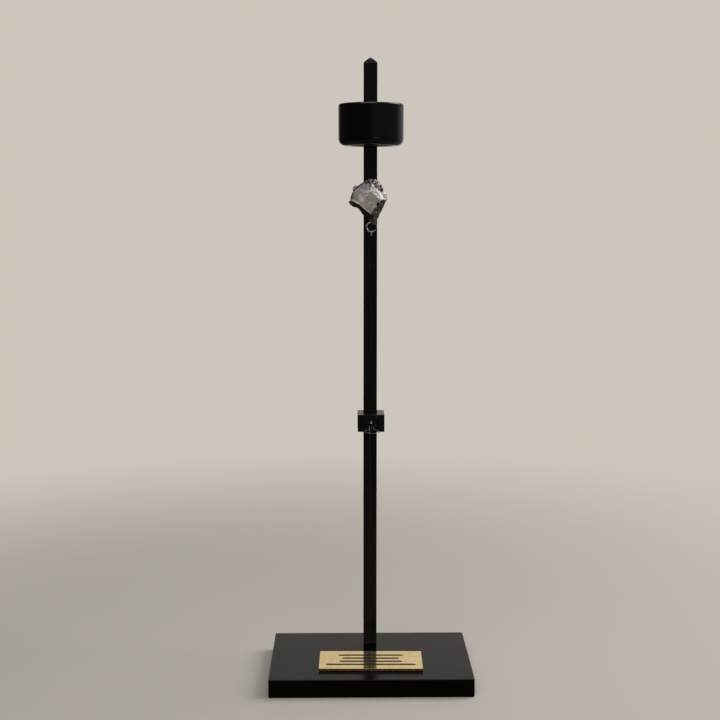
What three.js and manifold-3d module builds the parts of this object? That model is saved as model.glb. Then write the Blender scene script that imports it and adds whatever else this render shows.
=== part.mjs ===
// A meteorite held in the air on its display stand: a lump of meteoric iron is pulled up by a magnet in
// a black drum and held down by a fine thread. Millimetres, +Z up, the viewer in front is at -Y.
// The origin is the centre of the base's underside.
import * as THREE from 'three';
import { mergeVertices } from 'three/addons/utils/BufferGeometryUtils.js';
import Module from 'manifold-3d';

const wasm = await Module();
wasm.setup();

const GAP = 0.3; // air or glue between pieces that touch

// Base
const BASE_WIDTH = 150;
const BASE_DEPTH = 100;
const BASE_HEIGHT = 13.5;
const BASE_CORNER = 1.6;
const BASE_EASE = 0.6;

// Square rod, standing behind the middle of the base
const ROD_SIDE = 10;
const ROD_Y = 16;
const ROD_TOP = BASE_HEIGHT + 448.5;
const ROD_POINT = 4.2; // height of its pyramid tip
const ROD_EDGE = 0.35;
const ROD_FRONT = ROD_Y - ROD_SIDE / 2;
const ROD_BACK = ROD_Y + ROD_SIDE / 2;

// Screw that holds the rod, from under the base
const FOOT_SCREW_HEAD = 4.5;
const FOOT_SCREW_SHANK = 2.5;
const FOOT_SCREW_HEAD_HEIGHT = 5;
const FOOT_SCREW_LENGTH = 28;
const FOOT_SCREW_SOCKET = 2.3;
const FOOT_SCREW_SUNK = 0.8; // how far its head is above the underside
const FOOT_SCREW_POCKET = FOOT_SCREW_SUNK + FOOT_SCREW_HEAD_HEIGHT + GAP;

// Drum with the magnet in its underside
const DRUM_RADIUS = 23.5;
const DRUM_HEIGHT = 29.5;
const DRUM_BOTTOM = BASE_HEIGHT + 383.5;
const DRUM_LOWER_FILLET = 4;
const DRUM_UPPER_FILLET = 1.2;
const DRUM_NOTCH = 3; // how deep the rod is let into its back
const DRUM_Y = ROD_FRONT + DRUM_NOTCH - DRUM_RADIUS;
const MAGNET_RADIUS = 15;
const MAGNET_HEIGHT = 10;
const MAGNET_RECESS = 0.5;

// Screw that holds the drum, through the rod from behind
const DRUM_SCREW_UP = 20;
const DRUM_SCREW_HEAD = 3.6;
const DRUM_SCREW_HEAD_HEIGHT = 2.6;
const DRUM_SCREW_SHANK = 2;
const DRUM_SCREW_SOCKET = 1.5;
const DRUM_SCREW_INTO_DRUM = 7;

// Sliding clamp block and the grub screw that the thread is wound on
const CLAMP_X = 0.5; // its middle is a little to the right of the rod's
const CLAMP_WIDTH = 20;
const CLAMP_DEPTH = 22;
const CLAMP_HEIGHT = 13;
const CLAMP_BOTTOM = BASE_HEIGHT + 172.8;
const CLAMP_CORNER = 0.4;
const CLAMP_EASE = 0.35;
const CLAMP_IN_FRONT = 9.5; // of the rod's front face
const CLAMP_FRONT = ROD_FRONT - CLAMP_IN_FRONT;
const GRUB_RADIUS = 1.5;
const GRUB_PROUD = 1.7;
const GRUB_SOCKET = 0.9;
const GRUB_Z = CLAMP_BOTTOM + CLAMP_HEIGHT / 2 + 1;

// Meteorite: its centre, and the flat places that shape it. A face is given by turn, in degrees from
// facing front and positive to the right, tilt, in degrees above level, and reach, in mm from the centre.
const STONE = new THREE.Vector3(-1.1, -9.5, 359.2);
const STONE_DETAIL = 9;
const STONE_ROUNDING = 15; // higher is sharper
const NATURAL_FACES = [
  { turn: 0, tilt: 0, reach: 12 },
  { turn: -116, tilt: -48, reach: 12.0 },
  { turn: -95, tilt: 3, reach: 13.2 },
  { turn: -110, tilt: 40, reach: 11.1 },
  { turn: -125, tilt: 62, reach: 12.6 },
  { turn: 180, tilt: 80, reach: 13.8 },
  { turn: 105, tilt: 44, reach: 12.2 },
  { turn: 100, tilt: 28, reach: 11.6 },
  { turn: 84, tilt: -26, reach: 11.5 },
  { turn: -90, tilt: -80, reach: 19.8 },
  { turn: 180, tilt: 4, reach: 9.5 },
  { turn: 150, tilt: -34, reach: 13 },
  { turn: -150, tilt: -30, reach: 11.4 },
  { turn: -142, tilt: 32, reach: 11.2 },
  { turn: 140, tilt: 36, reach: 11.8 },
];
const CUT_FACES = {
  middle: { turn: -3, tilt: -7, reach: 8.76 },
  left: { turn: -22, tilt: 8, reach: 9.35 },
  upper_left: { turn: -19, tilt: 30, reach: 10.4 },
  right: { turn: 24, tilt: 24, reach: 10.3 },
  outer_right: { turn: 57, tilt: 37, reach: 10.3 },
  lower_right: { turn: 35, tilt: -26, reach: 11.5 },
  lower_left: { turn: -54, tilt: -45, reach: 10.7 },
};
// Knobs stand on the stone and hollows are pressed into it. Both are placed from its centre.
const KNOBS = [
  { at: [0.4, -1.6, 11.7], radius: 2.0 },
  { at: [3.2, -2.2, 12.0], radius: 2.4 },
  { at: [5.4, -3.2, 10.4], radius: 2.3 },
  { at: [7.0, -2.2, 8.8], radius: 2.4 },
  { at: [8.5, -1.8, 6.2], radius: 2.0 },
  { at: [4.0, 0.8, 12.0], radius: 2.4 },
  { at: [-9.4, -0.2, 7.2], radius: 3.0 },
  { at: [2.4, -0.6, -15.8], radius: 2.6 },
];
const HOLLOWS = [
  { at: [-12.6, 0.6, -12.8], radius: 7.4 },
  { at: [-5.5, 6.5, -16.5], radius: 5.4 },
  { at: [-13.0, 9.0, -5.0], radius: 5.5 },
  { at: [2.0, 13.0, 2.5], radius: 6.0 },
  { at: [8.5, 11.5, -6.0], radius: 5.6 },
  { at: [-6.5, 12.5, 6.5], radius: 5.0 },
  { at: [14.5, 5.5, -3.0], radius: 4.6 },
  { at: [10.0, 9.5, 9.5], radius: 4.4 },
  { at: [-3.0, 5.5, 17.0], radius: 4.6 },
  { at: [-15.5, 3.5, 3.0], radius: 3.6 },
  { at: [13.4, -2.2, 3.6], radius: 2.2 },
  { at: [-8.9, -2.6, 10.9], radius: 1.3 },
  { at: [1.9, -4.6, 12.2], radius: 0.9 },
  { at: [8.2, -4.9, 8.6], radius: 0.9 },
  { at: [9.3, -4.1, 5.9], radius: 0.8 },
  { at: [6.3, -8.3, -3.9], radius: 0.9 },
];
const SMALL = 2.5; // radius under which a hollow takes few faces
const PEBBLE_SWELL = 0.36;

// Ring through the stone's lower tip
const RING_RADIUS = 3.4; // to the middle of the wire
const RING_WIRE = 0.5; // radius
const RING = new THREE.Vector3(0.2, -10, 338.9);

// Thread
const THREAD_RADIUS = 0.2;
const THREAD_SIDES = 8;
const KNOT_RADIUS = 0.8;
const ANCHOR_X = -1.8;
const ANCHOR_Y = -44.4;
const ANCHOR_HOLE = 0.8;
const ANCHOR_POCKET_RADIUS = 3;
const ANCHOR_POCKET_HEIGHT = 5;
const ANCHOR_KNOT_RADIUS = 1.3;
const COIL_RADIUS = 5.7;
const COIL_SECTION = 0.6;
const COIL = new THREE.Vector3(1.4, CLAMP_FRONT - COIL_RADIUS - COIL_SECTION - 0.5, 187.9);
const COIL_TILT = 4;

// Brass plate
const PLATE_WIDTH = 77;
const PLATE_DEPTH = 36;
const PLATE_THICKNESS = 2;
const PLATE_Y = -15.9;
const PLATE_SKEW = -0.8; // degrees, as it is glued on
const PLATE_CORNER = 0.5;
const PLATE_EASE = 0.12;
const GROOVE_WIDTH = 1.1;
const GROOVE_DEPTH = 0.3;
const GROOVE_PITCH = 6.3;
const GROOVE_LENGTHS = [49, 43, 47, 67];

const DEG = Math.PI / 180;

// ---------------------------------------------------------------- solids

// A closed geometry as a solid that can be joined and cut.
function solid(geometry) {
  const bare = geometry.clone();
  bare.deleteAttribute('normal');
  bare.deleteAttribute('uv');
  const merged = mergeVertices(bare, 1e-4);
  return new wasm.Manifold(new wasm.Mesh({
    numProp: 3,
    vertProperties: new Float32Array(merged.attributes.position.array),
    triVerts: new Uint32Array(merged.index.array),
  }));
}

// A solid as a geometry with flat-shaded faces.
function geometryOf(body) {
  const mesh = body.getMesh();
  const geometry = new THREE.BufferGeometry();
  geometry.setAttribute('position', new THREE.BufferAttribute(new Float32Array(mesh.vertProperties), 3));
  geometry.setIndex(new THREE.BufferAttribute(new Uint32Array(mesh.triVerts), 1));
  geometry.computeVertexNormals();
  return geometry;
}

function box(width, depth, height, x, y, z) {
  return new THREE.BoxGeometry(width, depth, height).translate(x, y, z + height / 2);
}

// A cylinder standing on z.
function post(radius, height, x, y, z, segments = 32) {
  const cylinder = new THREE.CylinderGeometry(radius, radius, height, segments);
  return cylinder.rotateX(Math.PI / 2).translate(x, y, z + height / 2);
}

// A cylinder lying along Y, from its front end to its back end.
function pin(radius, x, front, back, z, segments = 32) {
  const cylinder = new THREE.CylinderGeometry(radius, radius, back - front, segments);
  return cylinder.translate(x, (front + back) / 2, z);
}

function roundedRectangle(width, depth, corner) {
  const x = width / 2;
  const y = depth / 2;
  const shape = new THREE.Shape();
  shape.moveTo(-x + corner, -y);
  shape.absarc(x - corner, -y + corner, corner, -Math.PI / 2, 0);
  shape.absarc(x - corner, y - corner, corner, 0, Math.PI / 2);
  shape.absarc(-x + corner, y - corner, corner, Math.PI / 2, Math.PI);
  shape.absarc(-x + corner, -y + corner, corner, Math.PI, Math.PI * 1.5);
  return shape;
}

// A slab standing on z with rounded corners and eased edges.
function slab(width, depth, height, corner, ease, z) {
  const outline = roundedRectangle(width - 2 * ease, depth - 2 * ease, Math.max(corner - ease, 0.05));
  return new THREE.ExtrudeGeometry(outline, {
    depth: height - 2 * ease,
    bevelThickness: ease,
    bevelSize: ease,
    bevelSegments: 2,
    curveSegments: 3,
  }).translate(0, 0, z + ease);
}

// A socket screw lying along Y with its head towards -Y and the head's front face at y = 0.
function screwAlongY({ headRadius, headHeight, shankRadius, length, socket }) {
  const head = solid(pin(headRadius, 0, 0, headHeight, 0, 20));
  const shank = solid(pin(shankRadius, 0, headHeight - 0.1, length, 0, 16));
  const hexagon = solid(pin(socket, 0, -1, headHeight * 0.6, 0, 6));
  return head.add(shank).subtract(hexagon);
}

// A tube along a smooth curve through the points.
function tube(points, radius, sides, steps) {
  const path = new THREE.CatmullRomCurve3(points.map((point) => new THREE.Vector3(...point)));
  const section = new THREE.Shape();
  section.absarc(0, 0, radius, 0, 2 * Math.PI);
  return new THREE.ExtrudeGeometry(section, {
    steps,
    curveSegments: sides / 2,
    bevelEnabled: false,
    extrudePath: path,
  });
}

// ---------------------------------------------------------------- finishes

// A plain finish, from its colour, how rough it is and how metallic.
function finish(color, roughness, metalness) {
  return new THREE.MeshStandardMaterial({ color, roughness, metalness });
}

const FINISHES = {
  blackLacquer: [0x0b0b0b, 0.3, 0.1],
  blackGloss: [0x070708, 0.12, 0.1],
  blackPaint: [0x09090a, 0.35, 0.2],
  darkMagnet: [0x131314, 0.7, 0.3],
  brightSteel: [0x8d8d8f, 0.3, 1],
  blackSteel: [0x1c1c1e, 0.4, 0.9],
  meteoricIron: [0x8b837c, 0.4, 0.85],
  silver: [0xc9c6c0, 0.22, 1],
  nylon: [0x9a9a98, 0.3, 0],
  brass: [0xc9a45a, 0.2, 1],
};

// ---------------------------------------------------------------- pieces

function basePlate() {
  const holes = [
    post(FOOT_SCREW_SHANK + GAP, BASE_HEIGHT + 2, 0, ROD_Y, -1),
    post(FOOT_SCREW_HEAD + GAP, FOOT_SCREW_POCKET + 1, 0, ROD_Y, -1),
    post(ANCHOR_HOLE, BASE_HEIGHT + 2, ANCHOR_X, ANCHOR_Y, -1, 16),
    post(ANCHOR_POCKET_RADIUS, ANCHOR_POCKET_HEIGHT + 1, ANCHOR_X, ANCHOR_Y, -1, 24),
  ];
  let body = solid(slab(BASE_WIDTH, BASE_DEPTH, BASE_HEIGHT, BASE_CORNER, BASE_EASE, 0));
  for (const hole of holes) {
    body = body.subtract(solid(hole));
  }
  return geometryOf(body);
}

function footScrew() {
  const screw = screwAlongY({
    headRadius: FOOT_SCREW_HEAD,
    headHeight: FOOT_SCREW_HEAD_HEIGHT,
    shankRadius: FOOT_SCREW_SHANK,
    length: FOOT_SCREW_LENGTH,
    socket: FOOT_SCREW_SOCKET,
  });
  return geometryOf(screw).rotateX(Math.PI / 2).translate(0, ROD_Y, FOOT_SCREW_SUNK);
}

function rod() {
  const foot = BASE_HEIGHT + GAP;
  const outline = roundedRectangle(ROD_SIDE, ROD_SIDE, ROD_EDGE);
  const bar = new THREE.ExtrudeGeometry(outline, {
    depth: ROD_TOP - foot,
    bevelEnabled: false,
    curveSegments: 2,
  }).translate(0, ROD_Y, foot);
  // A tall pyramid with the tip's slope, which reaches past the foot, shapes the rod's point.
  const height = ROD_TOP * 2;
  const halfWidth = (height * ROD_SIDE) / 2 / ROD_POINT;
  const pyramid = new THREE.ConeGeometry(halfWidth * Math.SQRT2, height, 4);
  pyramid.rotateY(Math.PI / 4).rotateX(Math.PI / 2).translate(0, ROD_Y, ROD_TOP - height / 2);
  const drumScrewZ = DRUM_BOTTOM + DRUM_SCREW_UP;
  const drumScrewHole = solid(pin(DRUM_SCREW_SHANK + GAP, 0, ROD_FRONT - 1, ROD_BACK + 1, drumScrewZ));
  const footScrewHole = solid(post(FOOT_SCREW_SHANK + GAP, FOOT_SCREW_LENGTH, 0, ROD_Y, 1.5));
  const pointed = solid(bar).intersect(solid(pyramid));
  return geometryOf(pointed.subtract(drumScrewHole).subtract(footScrewHole));
}

// The drum's half section, from the axis at its top round to the magnet's pocket.
function drumSection() {
  const pocketRadius = MAGNET_RADIUS + GAP;
  const pocketTop = MAGNET_RECESS + MAGNET_HEIGHT + GAP;
  const path = new THREE.Path();
  path.moveTo(0, pocketTop);
  path.lineTo(pocketRadius, pocketTop);
  path.lineTo(pocketRadius, 0);
  path.lineTo(DRUM_RADIUS - DRUM_LOWER_FILLET, 0);
  path.absarc(DRUM_RADIUS - DRUM_LOWER_FILLET, DRUM_LOWER_FILLET, DRUM_LOWER_FILLET, -Math.PI / 2, 0);
  const shoulder = DRUM_RADIUS - DRUM_UPPER_FILLET;
  path.absarc(shoulder, DRUM_HEIGHT - DRUM_UPPER_FILLET, DRUM_UPPER_FILLET, 0, Math.PI / 2);
  path.lineTo(0, DRUM_HEIGHT);
  return path.getPoints(2);
}

function magnetDrum() {
  const turned = new THREE.LatheGeometry(drumSection(), 48).rotateX(Math.PI / 2);
  turned.translate(0, DRUM_Y, DRUM_BOTTOM);
  const notchWidth = ROD_SIDE + 2 * GAP;
  const notchFront = ROD_FRONT - GAP;
  const notch = solid(box(notchWidth, 20, DRUM_HEIGHT + 2, 0, notchFront + 10, DRUM_BOTTOM - 1));
  const drumScrewZ = DRUM_BOTTOM + DRUM_SCREW_UP;
  const holeEnd = notchFront - DRUM_SCREW_INTO_DRUM - 1;
  const screwHole = solid(pin(DRUM_SCREW_SHANK + GAP, 0, holeEnd, notchFront + 1, drumScrewZ));
  return geometryOf(solid(turned).subtract(notch).subtract(screwHole));
}

function magnet() {
  return post(MAGNET_RADIUS, MAGNET_HEIGHT, 0, DRUM_Y, DRUM_BOTTOM + MAGNET_RECESS, 48);
}

function drumScrew() {
  const screw = screwAlongY({
    headRadius: DRUM_SCREW_HEAD,
    headHeight: DRUM_SCREW_HEAD_HEIGHT,
    shankRadius: DRUM_SCREW_SHANK,
    length: DRUM_SCREW_HEAD_HEIGHT + GAP + ROD_SIDE + GAP + DRUM_SCREW_INTO_DRUM,
    socket: DRUM_SCREW_SOCKET,
  });
  const head = ROD_BACK + GAP + DRUM_SCREW_HEAD_HEIGHT;
  return geometryOf(screw).rotateZ(Math.PI).translate(0, head, DRUM_BOTTOM + DRUM_SCREW_UP);
}

function clampBlock() {
  const block = slab(CLAMP_WIDTH, CLAMP_DEPTH, CLAMP_HEIGHT, CLAMP_CORNER, CLAMP_EASE, CLAMP_BOTTOM);
  block.translate(CLAMP_X, CLAMP_FRONT + CLAMP_DEPTH / 2, 0);
  const hole = ROD_SIDE + 2 * GAP;
  const rodHole = solid(box(hole, hole, CLAMP_HEIGHT + 2, 0, ROD_Y, CLAMP_BOTTOM - 1));
  const screwHole = solid(pin(GRUB_RADIUS + GAP, CLAMP_X, CLAMP_FRONT - 1, ROD_FRONT, GRUB_Z, 24));
  return geometryOf(solid(block).subtract(rodHole).subtract(screwHole));
}

function clampScrew() {
  const screw = screwAlongY({
    headRadius: GRUB_RADIUS,
    headHeight: GRUB_PROUD,
    shankRadius: GRUB_RADIUS - 0.1,
    length: GRUB_PROUD + CLAMP_IN_FRONT - GAP,
    socket: GRUB_SOCKET,
  });
  return geometryOf(screw).translate(CLAMP_X, CLAMP_FRONT - GRUB_PROUD, GRUB_Z);
}

// ---------------------------------------------------------------- meteorite

// The direction that a face of the stone looks in.
function facing({ turn, tilt }) {
  const level = Math.cos(tilt * DEG);
  return new THREE.Vector3(
    Math.sin(turn * DEG) * level,
    -Math.cos(turn * DEG) * level,
    Math.sin(tilt * DEG),
  );
}

// Low waves on the crust, in mm, at a place on the stone.
function crustWave(place) {
  const broad = Math.sin(0.62 * place.x + 1) * Math.sin(0.71 * place.y + 2) * Math.sin(0.55 * place.z);
  const fine = Math.sin(1.7 * place.x + 0.5) * Math.sin(1.9 * place.y) * Math.sin(1.5 * place.z + 2);
  return 0.5 * broad + 0.25 * fine;
}

// Moves each corner of a geometry to where the function puts it.
function reshape(geometry, move) {
  const places = geometry.attributes.position;
  const place = new THREE.Vector3();
  for (let i = 0; i < places.count; i += 1) {
    move(place.fromBufferAttribute(places, i));
    places.setXYZ(i, place.x, place.y, place.z);
  }
  return geometry;
}

// The lump before it is cut: a ball drawn in to its natural faces, with soft edges between them.
function naturalLump() {
  const faces = NATURAL_FACES.map((face) => ({ normal: facing(face), reach: face.reach }));
  return solid(reshape(new THREE.IcosahedronGeometry(1, STONE_DETAIL), (place) => {
    place.normalize();
    let sum = 0;
    for (const { normal, reach } of faces) {
      sum += Math.max(0, normal.dot(place) / reach) ** STONE_ROUNDING;
    }
    place.multiplyScalar(sum ** (-1 / STONE_ROUNDING));
    place.multiplyScalar(1 + crustWave(place) / place.length());
  }));
}

// Everything beyond a face, to be cut away.
function beyond(face) {
  const size = 60;
  const block = new THREE.BoxGeometry(size, size, size).translate(0, 0, face.reach + size / 2);
  const turnTo = new THREE.Quaternion().setFromUnitVectors(new THREE.Vector3(0, 0, 1), facing(face));
  return solid(block.applyQuaternion(turnTo));
}

// A rough ball, as a knob or as the shape of a hollow.
function pebble({ at, radius }, detail) {
  const centre = new THREE.Vector3(...at);
  const ball = new THREE.IcosahedronGeometry(radius, detail).translate(...at);
  return solid(reshape(ball, (place) => {
    const wave = Math.sin(2.3 * place.x + 1.9 * place.z) * Math.sin(2.1 * place.y + place.x);
    place.sub(centre).setLength(radius + PEBBLE_SWELL * wave).add(centre);
  }));
}

function ringAround(wire) {
  const torus = new THREE.TorusGeometry(RING_RADIUS, wire, 8, 28);
  return torus.rotateX(Math.PI / 2).translate(RING.x, RING.y, RING.z);
}

function meteorite() {
  let stone = naturalLump();
  for (const face of Object.values(CUT_FACES)) {
    stone = stone.subtract(beyond(face));
  }
  for (const knob of KNOBS) {
    stone = stone.add(pebble(knob, 2));
  }
  for (const hollow of HOLLOWS) {
    stone = stone.subtract(pebble(hollow, hollow.radius < SMALL ? 1 : 3));
  }
  // The ring's hole is worn to the curve of its wire.
  const ringHole = solid(ringAround(RING_WIRE + GAP).translate(-STONE.x, -STONE.y, -STONE.z));
  return geometryOf(stone.subtract(ringHole));
}

// ---------------------------------------------------------------- ring and thread

const RING_BOTTOM = RING.z - RING_RADIUS - RING_WIRE;
const WIND_Z = GRUB_RADIUS + THREAD_RADIUS + GAP;
const WIND_Y = CLAMP_FRONT - GRUB_PROUD / 2;

// From the knot under the ring down to the top of the grub screw, with the slight waves of nylon.
const UPPER_ROUTE = [
  [RING.x, RING.y, RING_BOTTOM - GAP - KNOT_RADIUS],
  [-1.0, -9.4, 326],
  [-1.5, -8.9, 319.5],
  [-1.2, -8.4, 313.5],
  [-0.9, -7.5, 302],
  [-0.9, -6.8, 293],
  [-0.5, -5.9, 281],
  [-0.3, -5.0, 269.5],
  [-0.2, -3.9, 256],
  [0.0, -2.8, 241],
  [0.1, -1.3, 220],
  [0.2, -0.1, 205],
  [CLAMP_X, WIND_Y, GRUB_Z + WIND_Z],
];

// From under the grub screw, over the plate, into the small hole near the base's front edge.
const LOWER_ROUTE = [
  [CLAMP_X, WIND_Y, GRUB_Z - WIND_Z],
  [0.2, -1.5, 188],
  [-0.3, -3.0, 180],
  [-0.6, -4.6, 172],
  [-0.6, -7.8, 160],
  [-0.8, -11.5, 145],
  [-1.0, -18.7, 116.5],
  [-1.1, -25.8, 88],
  [-1.2, -32.2, 62.5],
  [-1.5, -39.6, 33],
  [ANCHOR_X, ANCHOR_Y, BASE_HEIGHT],
  [ANCHOR_X, ANCHOR_Y, BASE_HEIGHT - 5],
  [ANCHOR_X, ANCHOR_Y, ANCHOR_POCKET_HEIGHT - ANCHOR_KNOT_RADIUS],
];

// From the grub screw to the spare loops that hang at the block's lower edge.
const TAIL_ROUTE = [
  [CLAMP_X + 1.1, WIND_Y - 0.6, GRUB_Z - WIND_Z],
  [CLAMP_X + 1.5, WIND_Y - 0.7, GRUB_Z - WIND_Z - 1.4],
  [CLAMP_X + 1.9, WIND_Y - 0.3, GRUB_Z - WIND_Z - 2.8],
];

function knot(radius, [x, y, z]) {
  return solid(new THREE.IcosahedronGeometry(radius, 1).translate(x, y, z));
}

function upperThread() {
  const strand = solid(tube(UPPER_ROUTE, THREAD_RADIUS, THREAD_SIDES, 32));
  return geometryOf(strand.add(knot(KNOT_RADIUS, UPPER_ROUTE[0])));
}

function lowerThread() {
  const strand = solid(tube(LOWER_ROUTE, THREAD_RADIUS, THREAD_SIDES, 32));
  return geometryOf(strand.add(knot(ANCHOR_KNOT_RADIUS, LOWER_ROUTE[LOWER_ROUTE.length - 1])));
}

function threadCoil() {
  const section = new THREE.Path().absarc(COIL_RADIUS, 0, COIL_SECTION, 0, 2 * Math.PI);
  return new THREE.LatheGeometry(section.getPoints(4), 24).rotateX(Math.PI / 2);
}

// ---------------------------------------------------------------- plate

function namePlate() {
  const bottom = BASE_HEIGHT + GAP;
  let plate = solid(slab(PLATE_WIDTH, PLATE_DEPTH, PLATE_THICKNESS, PLATE_CORNER, PLATE_EASE, bottom));
  GROOVE_LENGTHS.forEach((length, row) => {
    const y = ((GROOVE_LENGTHS.length - 1) / 2 - row) * GROOVE_PITCH;
    const groove = box(length, GROOVE_WIDTH, 2, 0, y, bottom + PLATE_THICKNESS - GROOVE_DEPTH);
    plate = plate.subtract(solid(groove));
  });
  return geometryOf(plate);
}

// ---------------------------------------------------------------- assembly

const stand = new THREE.Group();

function place(name, geometry, finishName, position = [0, 0, 0], turned = [0, 0, 0]) {
  const mesh = new THREE.Mesh(geometry, finish(...FINISHES[finishName]));
  mesh.name = name;
  mesh.position.set(...position);
  mesh.rotation.set(...turned.map((degrees) => degrees * DEG));
  stand.add(mesh);
}

place('base_plate', basePlate(), 'blackLacquer');
place('foot_screw', footScrew(), 'blackSteel');
place('rod', rod(), 'blackPaint');
place('magnet_drum', magnetDrum(), 'blackGloss');
place('magnet', magnet(), 'darkMagnet');
place('drum_screw', drumScrew(), 'blackSteel');
place('clamp_block', clampBlock(), 'blackPaint');
place('clamp_screw', clampScrew(), 'brightSteel');
place('meteorite', meteorite(), 'meteoricIron', STONE.toArray());
place('ring', ringAround(RING_WIRE), 'silver');
place('upper_thread', upperThread(), 'nylon');
place('lower_thread', lowerThread(), 'nylon');
place('thread_tail', tube(TAIL_ROUTE, THREAD_RADIUS, THREAD_SIDES, 6), 'nylon');
place('thread_coil', threadCoil(), 'nylon', COIL.toArray(), [COIL_TILT, 0, 0]);
place('name_plate', namePlate(), 'brass', [0, PLATE_Y, 0], [0, 0, PLATE_SKEW]);

export default stand;
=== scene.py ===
"""Looks of a meteorite that floats on its display stand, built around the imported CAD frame.

Shapes are worked out in millimetres, as in the CAD: +Z up, the viewer in front at -Y, and the origin
under the middle of the base. `piece` turns each finished mesh into Blender's metres.
"""

import math

import bmesh
import bpy
import numpy as np
from mathutils import Matrix, Vector, noise


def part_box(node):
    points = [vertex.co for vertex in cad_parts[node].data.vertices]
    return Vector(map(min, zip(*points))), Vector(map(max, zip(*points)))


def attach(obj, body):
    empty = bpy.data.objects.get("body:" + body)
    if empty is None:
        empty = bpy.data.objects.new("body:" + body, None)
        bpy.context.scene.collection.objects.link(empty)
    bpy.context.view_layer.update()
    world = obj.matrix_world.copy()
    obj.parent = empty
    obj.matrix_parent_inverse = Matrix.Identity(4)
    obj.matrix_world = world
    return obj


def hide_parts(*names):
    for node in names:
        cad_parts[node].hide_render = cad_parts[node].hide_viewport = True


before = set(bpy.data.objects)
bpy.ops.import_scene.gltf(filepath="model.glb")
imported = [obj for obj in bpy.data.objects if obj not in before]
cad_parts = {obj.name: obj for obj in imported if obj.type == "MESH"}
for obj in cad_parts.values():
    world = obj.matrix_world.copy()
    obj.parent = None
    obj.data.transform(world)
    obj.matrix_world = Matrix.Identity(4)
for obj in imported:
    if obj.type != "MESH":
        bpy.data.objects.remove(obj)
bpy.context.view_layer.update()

MM = 0.001
TURN = 2 * math.pi


def cad(node):
    """The lowest and highest corner of a CAD node, in millimetres."""
    low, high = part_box(node)
    return low / MM, high / MM


BASE_LOW, BASE_HIGH = cad("base_plate")
ROD_LOW, ROD_HIGH = cad("rod")
DRUM_LOW, DRUM_HIGH = cad("magnet_drum")
MAGNET_LOW, MAGNET_HIGH = cad("magnet")
CLAMP_LOW, CLAMP_HIGH = cad("clamp_block")
GRUB_LOW, GRUB_HIGH = cad("clamp_screw")
FOOT_LOW, FOOT_HIGH = cad("foot_screw")
BOLT_LOW, BOLT_HIGH = cad("drum_screw")
RING_LOW, RING_HIGH = cad("ring")
PLATE_LOW, PLATE_HIGH = cad("name_plate")

# Sizes inside the solids, as in the CAD.
GAP = 0.3
FOOT_HEAD_HEIGHT = 5
FOOT_SHANK = 2.5
BOLT_HEAD_HEIGHT = 2.6
BOLT_SHANK = 2
BOLT_Z = (BOLT_LOW.z + BOLT_HIGH.z) / 2
ANCHOR_HOLE = 0.8
ANCHOR_POCKET = 3
ANCHOR_POCKET_HEIGHT = 5
# Turned profiles start this far from their axis.
AXIS = 0.02
THREAD_RADIUS = 0.2
GRUB_RADIUS = 1.5
GRUB = Vector(((GRUB_LOW.x + GRUB_HIGH.x) / 2, GRUB_LOW.y, (GRUB_LOW.z + GRUB_HIGH.z) / 2))
ANCHOR = Vector((-1.8, -44.4, BASE_HIGH.z))
RING_WIRE = (RING_HIGH.y - RING_LOW.y) / 2
RING_RADIUS = (RING_HIGH.x - RING_LOW.x) / 2 - RING_WIRE
RING = (RING_LOW + RING_HIGH) / 2


# ------------------------------------------------------------------ camera

EYE = (-0.0188, -0.919, 0.3585)
EYE_DOWN = 7.23
EYE_TO_RIGHT = 0.73
LENS = 62.5
SHIFT = (-0.0013889, -0.0020833)


def camera():
    """The photo's viewpoint, a little above the middle of the stand, in metres and degrees."""
    data = bpy.data.cameras.new("camera")
    data.sensor_width = 36
    data.lens = LENS
    data.shift_x, data.shift_y = SHIFT
    data.clip_start = 0.01
    data.clip_end = 50
    eye = bpy.data.objects.new("camera", data)
    eye.location = EYE
    eye.rotation_euler = (math.radians(90 - EYE_DOWN), 0, math.radians(-EYE_TO_RIGHT))
    bpy.context.scene.collection.objects.link(eye)
    bpy.context.scene.camera = eye


camera()


# ------------------------------------------------------------------ pieces

def dressed(obj, material, nodes):
    """The object as a piece of the stand, with its material, that stands for its CAD nodes."""
    for each in material if isinstance(material, list) else [material]:
        obj.data.materials.append(each)
    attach(obj, "root")
    if nodes:
        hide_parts(*nodes)
    return obj


def piece(name, mesh, material, nodes=()):
    """A finished mesh in millimetres as a piece of the stand."""
    mesh.transform(Matrix.Scale(MM, 4))
    obj = bpy.data.objects.new(name, mesh)
    bpy.context.scene.collection.objects.link(obj)
    return dressed(obj, material, nodes)


def strand(name, points, material, nodes=(), radius=THREAD_RADIUS * MM):
    """A thread along the points, in metres, as one open curve."""
    curve = bpy.data.curves.new(name, "CURVE")
    curve.dimensions = "3D"
    curve.bevel_depth = radius
    curve.bevel_resolution = 3
    curve.use_fill_caps = True
    spline = curve.splines.new("POLY")
    spline.points.add(len(points) - 1)
    for target, point in zip(spline.points, points):
        target.co = (*point, 1)
    spline.use_smooth = True
    obj = bpy.data.objects.new(name, curve)
    bpy.context.scene.collection.objects.link(obj)
    return dressed(obj, material, nodes)


# ------------------------------------------------------------------ lines

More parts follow.
